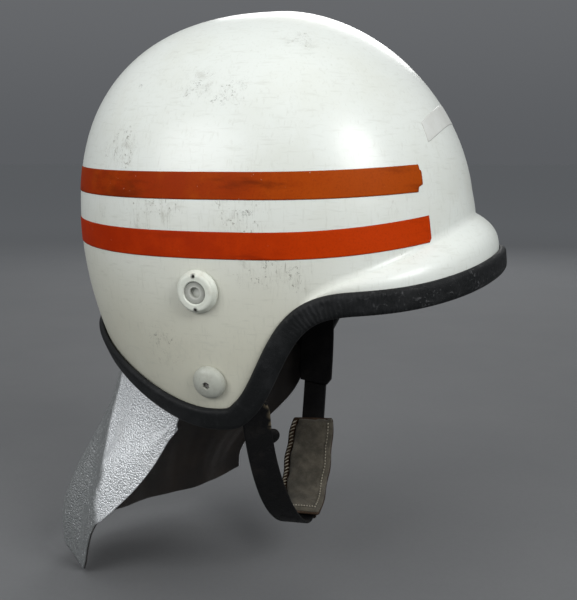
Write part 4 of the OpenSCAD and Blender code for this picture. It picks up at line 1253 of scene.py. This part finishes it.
u, v = spread(360, 150)
curtain, lining = (two_skins(name, *(curtain_point(u, v, off, 0.35) for off in offs))
                   for name, offs in (("silver_curtain", (0.0, -0.8)), ("curtain_back", (-1.3, -2.1))))
grid = curtain_point(*spread(200, 80), 0.0)
wide = float(np.linalg.norm(np.diff(grid[:, 12], axis=0), axis=-1).sum()) * MM
tall = float(np.linalg.norm(np.diff(grid[150], axis=0), axis=-1).sum()) * MM

silver = new_material("silver_cloth", Metallic=0.45, Specular_IOR_Level=0.6)
u, v = uv_parts()
pebble = cells("SMOOTH_F1", 850.0, Smoothness=0.25)
silver_threads = clouds(1.0, 3, 0.65)
crumple = clouds(7, distortion=0.5)
soot = band(clouds(26, 4, 0.65), 0.45, 0.72)
fold_at = band(v, 0.36, 0.76, 110 / 146, 127 / 146)
# Next to the fold, towards the back, the cloth is painted dark grey: painted shade for a dark reflection.
# Painted glints lie on it, and there the thread flecks, which are also the cloth's own, are stronger as
# painted sparkle.
painted_dark_zone = band(u - fold_at + 0.02 * crumple, 0.016, -0.006) * band(u + 0.04 * crumple, 0.36, 0.54)
painted_glint = band(clouds(1.7, 3, 0.75), 0.59, 0.66) * painted_dark_zone
base = paint((0.95, 0.98, 1.0), (soot * 0.3, (0.68, 0.68, 0.67)), (painted_dark_zone * 0.9, (0.185, 0.196, 0.196)),
             (band(pebble, 0.5, 0.9) * 0.4, (0.27, 0.28, 0.29)),
             (band(silver_threads, 0.60, 0.75) * (0.3 + 0.5 * painted_dark_zone), (0.72, 0.75, 0.76)),
             (painted_glint * 0.8, (0.90, 0.93, 0.94)))
connect(Base_Color=base, Roughness=0.36 + 0.2 * soot,
        Normal=relief((crumple, 0.7), (silver_threads, 0.3), (pebble, -0.9)))
# The lining's brown is made very dark: painted shade for the shadow inside the curtain.
brown = woven("lining_cloth", (0.010, 0.0065, 0.0045), (0.025, 0.016, 0.011), 0.9)
dress(curtain, silver, "silver_cloth", ["neck_curtain"])
dress(lining, brown, "lining_cloth", ["curtain_lining"])

# %% [markdown]
# The set is plain: a wide dark grey floor just under the hem, and a sky that is grey haze low down and
# bright overhead, like the ceiling of a museum hall. The floor and the haze meet in one tone, so no
# horizon shows. Four broad lamps give the shell its soft fall from light to shade.
# %% Floor and light
FLOOR_HALF = 60000
lowest = min(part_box(name)[0][2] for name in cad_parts)
floor = build_mesh("floor", [[x_ * FLOOR_HALF, y_ * FLOOR_HALF, lowest / MM - 1]
                             for x_, y_ in ((-1, -1), (1, -1), (1, 1), (-1, 1))], [(0, 1, 2, 3)])
grey = new_material("grey_floor", Roughness=0.95, Specular_IOR_Level=0.1)
away = node("VectorMath", {"operation": "LENGTH"}, {0: place()}, out=1)
connect(Base_Color=paint((0.145, 0.150, 0.156), (clouds(160, 4, 0.6), (0.174, 0.177, 0.181)),
                         (band(away, 0.9, 4.0), (0.238, 0.248, 0.262)),
                         (clouds(2.5, 3, 0.7) * 0.5, (0.120, 0.122, 0.122))))
floor.data.materials.append(grey)
world = bpy.data.worlds.new("soft_sky")
world.use_nodes = True
Wire.tree = world.node_tree
height = split(node("TexCoord"))[2]
haze = paint((0.104, 0.109, 0.117), (band(height, -0.01, 0.20), (0.137, 0.142, 0.150)),
             (band(height, 0.18, 0.50), (0.48, 0.49, 0.50)))
Wire.tree.links.new(haze.socket, Wire.tree.nodes["Background"].inputs["Color"])
bpy.context.scene.world = world

# Each lamp: name, place and aim in metres, size in metres, power in watts
for name, place_m, aim_m, size, power in (
        ("key_lamp", (0.1, -0.8, 1.85), (0, 0, -0.02), 1.6, 5),
        ("front_lamp", (1.45, -1.2, 1.0), (0, 0, -0.08), 1.0, 24),
        ("rear_lamp", (-1.05, -1.5, 0.7), (0, 0, -0.1), 1.2, 15.5),
        ("far_lamp", (-0.2, 2.0, 1.0), (0, 0, -0.05), 1.2, 12)):
    data = bpy.data.lights.new(name, "AREA")
    data.shape, data.size, data.energy = "DISK", size, power
    lamp = bpy.data.objects.new(name, data)
    bpy.context.scene.collection.objects.link(lamp)
    lamp.location = place_m
    lamp.rotation_euler = (Vector(aim_m) - Vector(place_m)).to_track_quat("-Z", "Y").to_euler()
bpy.context.scene.view_settings.view_transform = "Standard"
print("floor at", round(lowest, 3), "m")
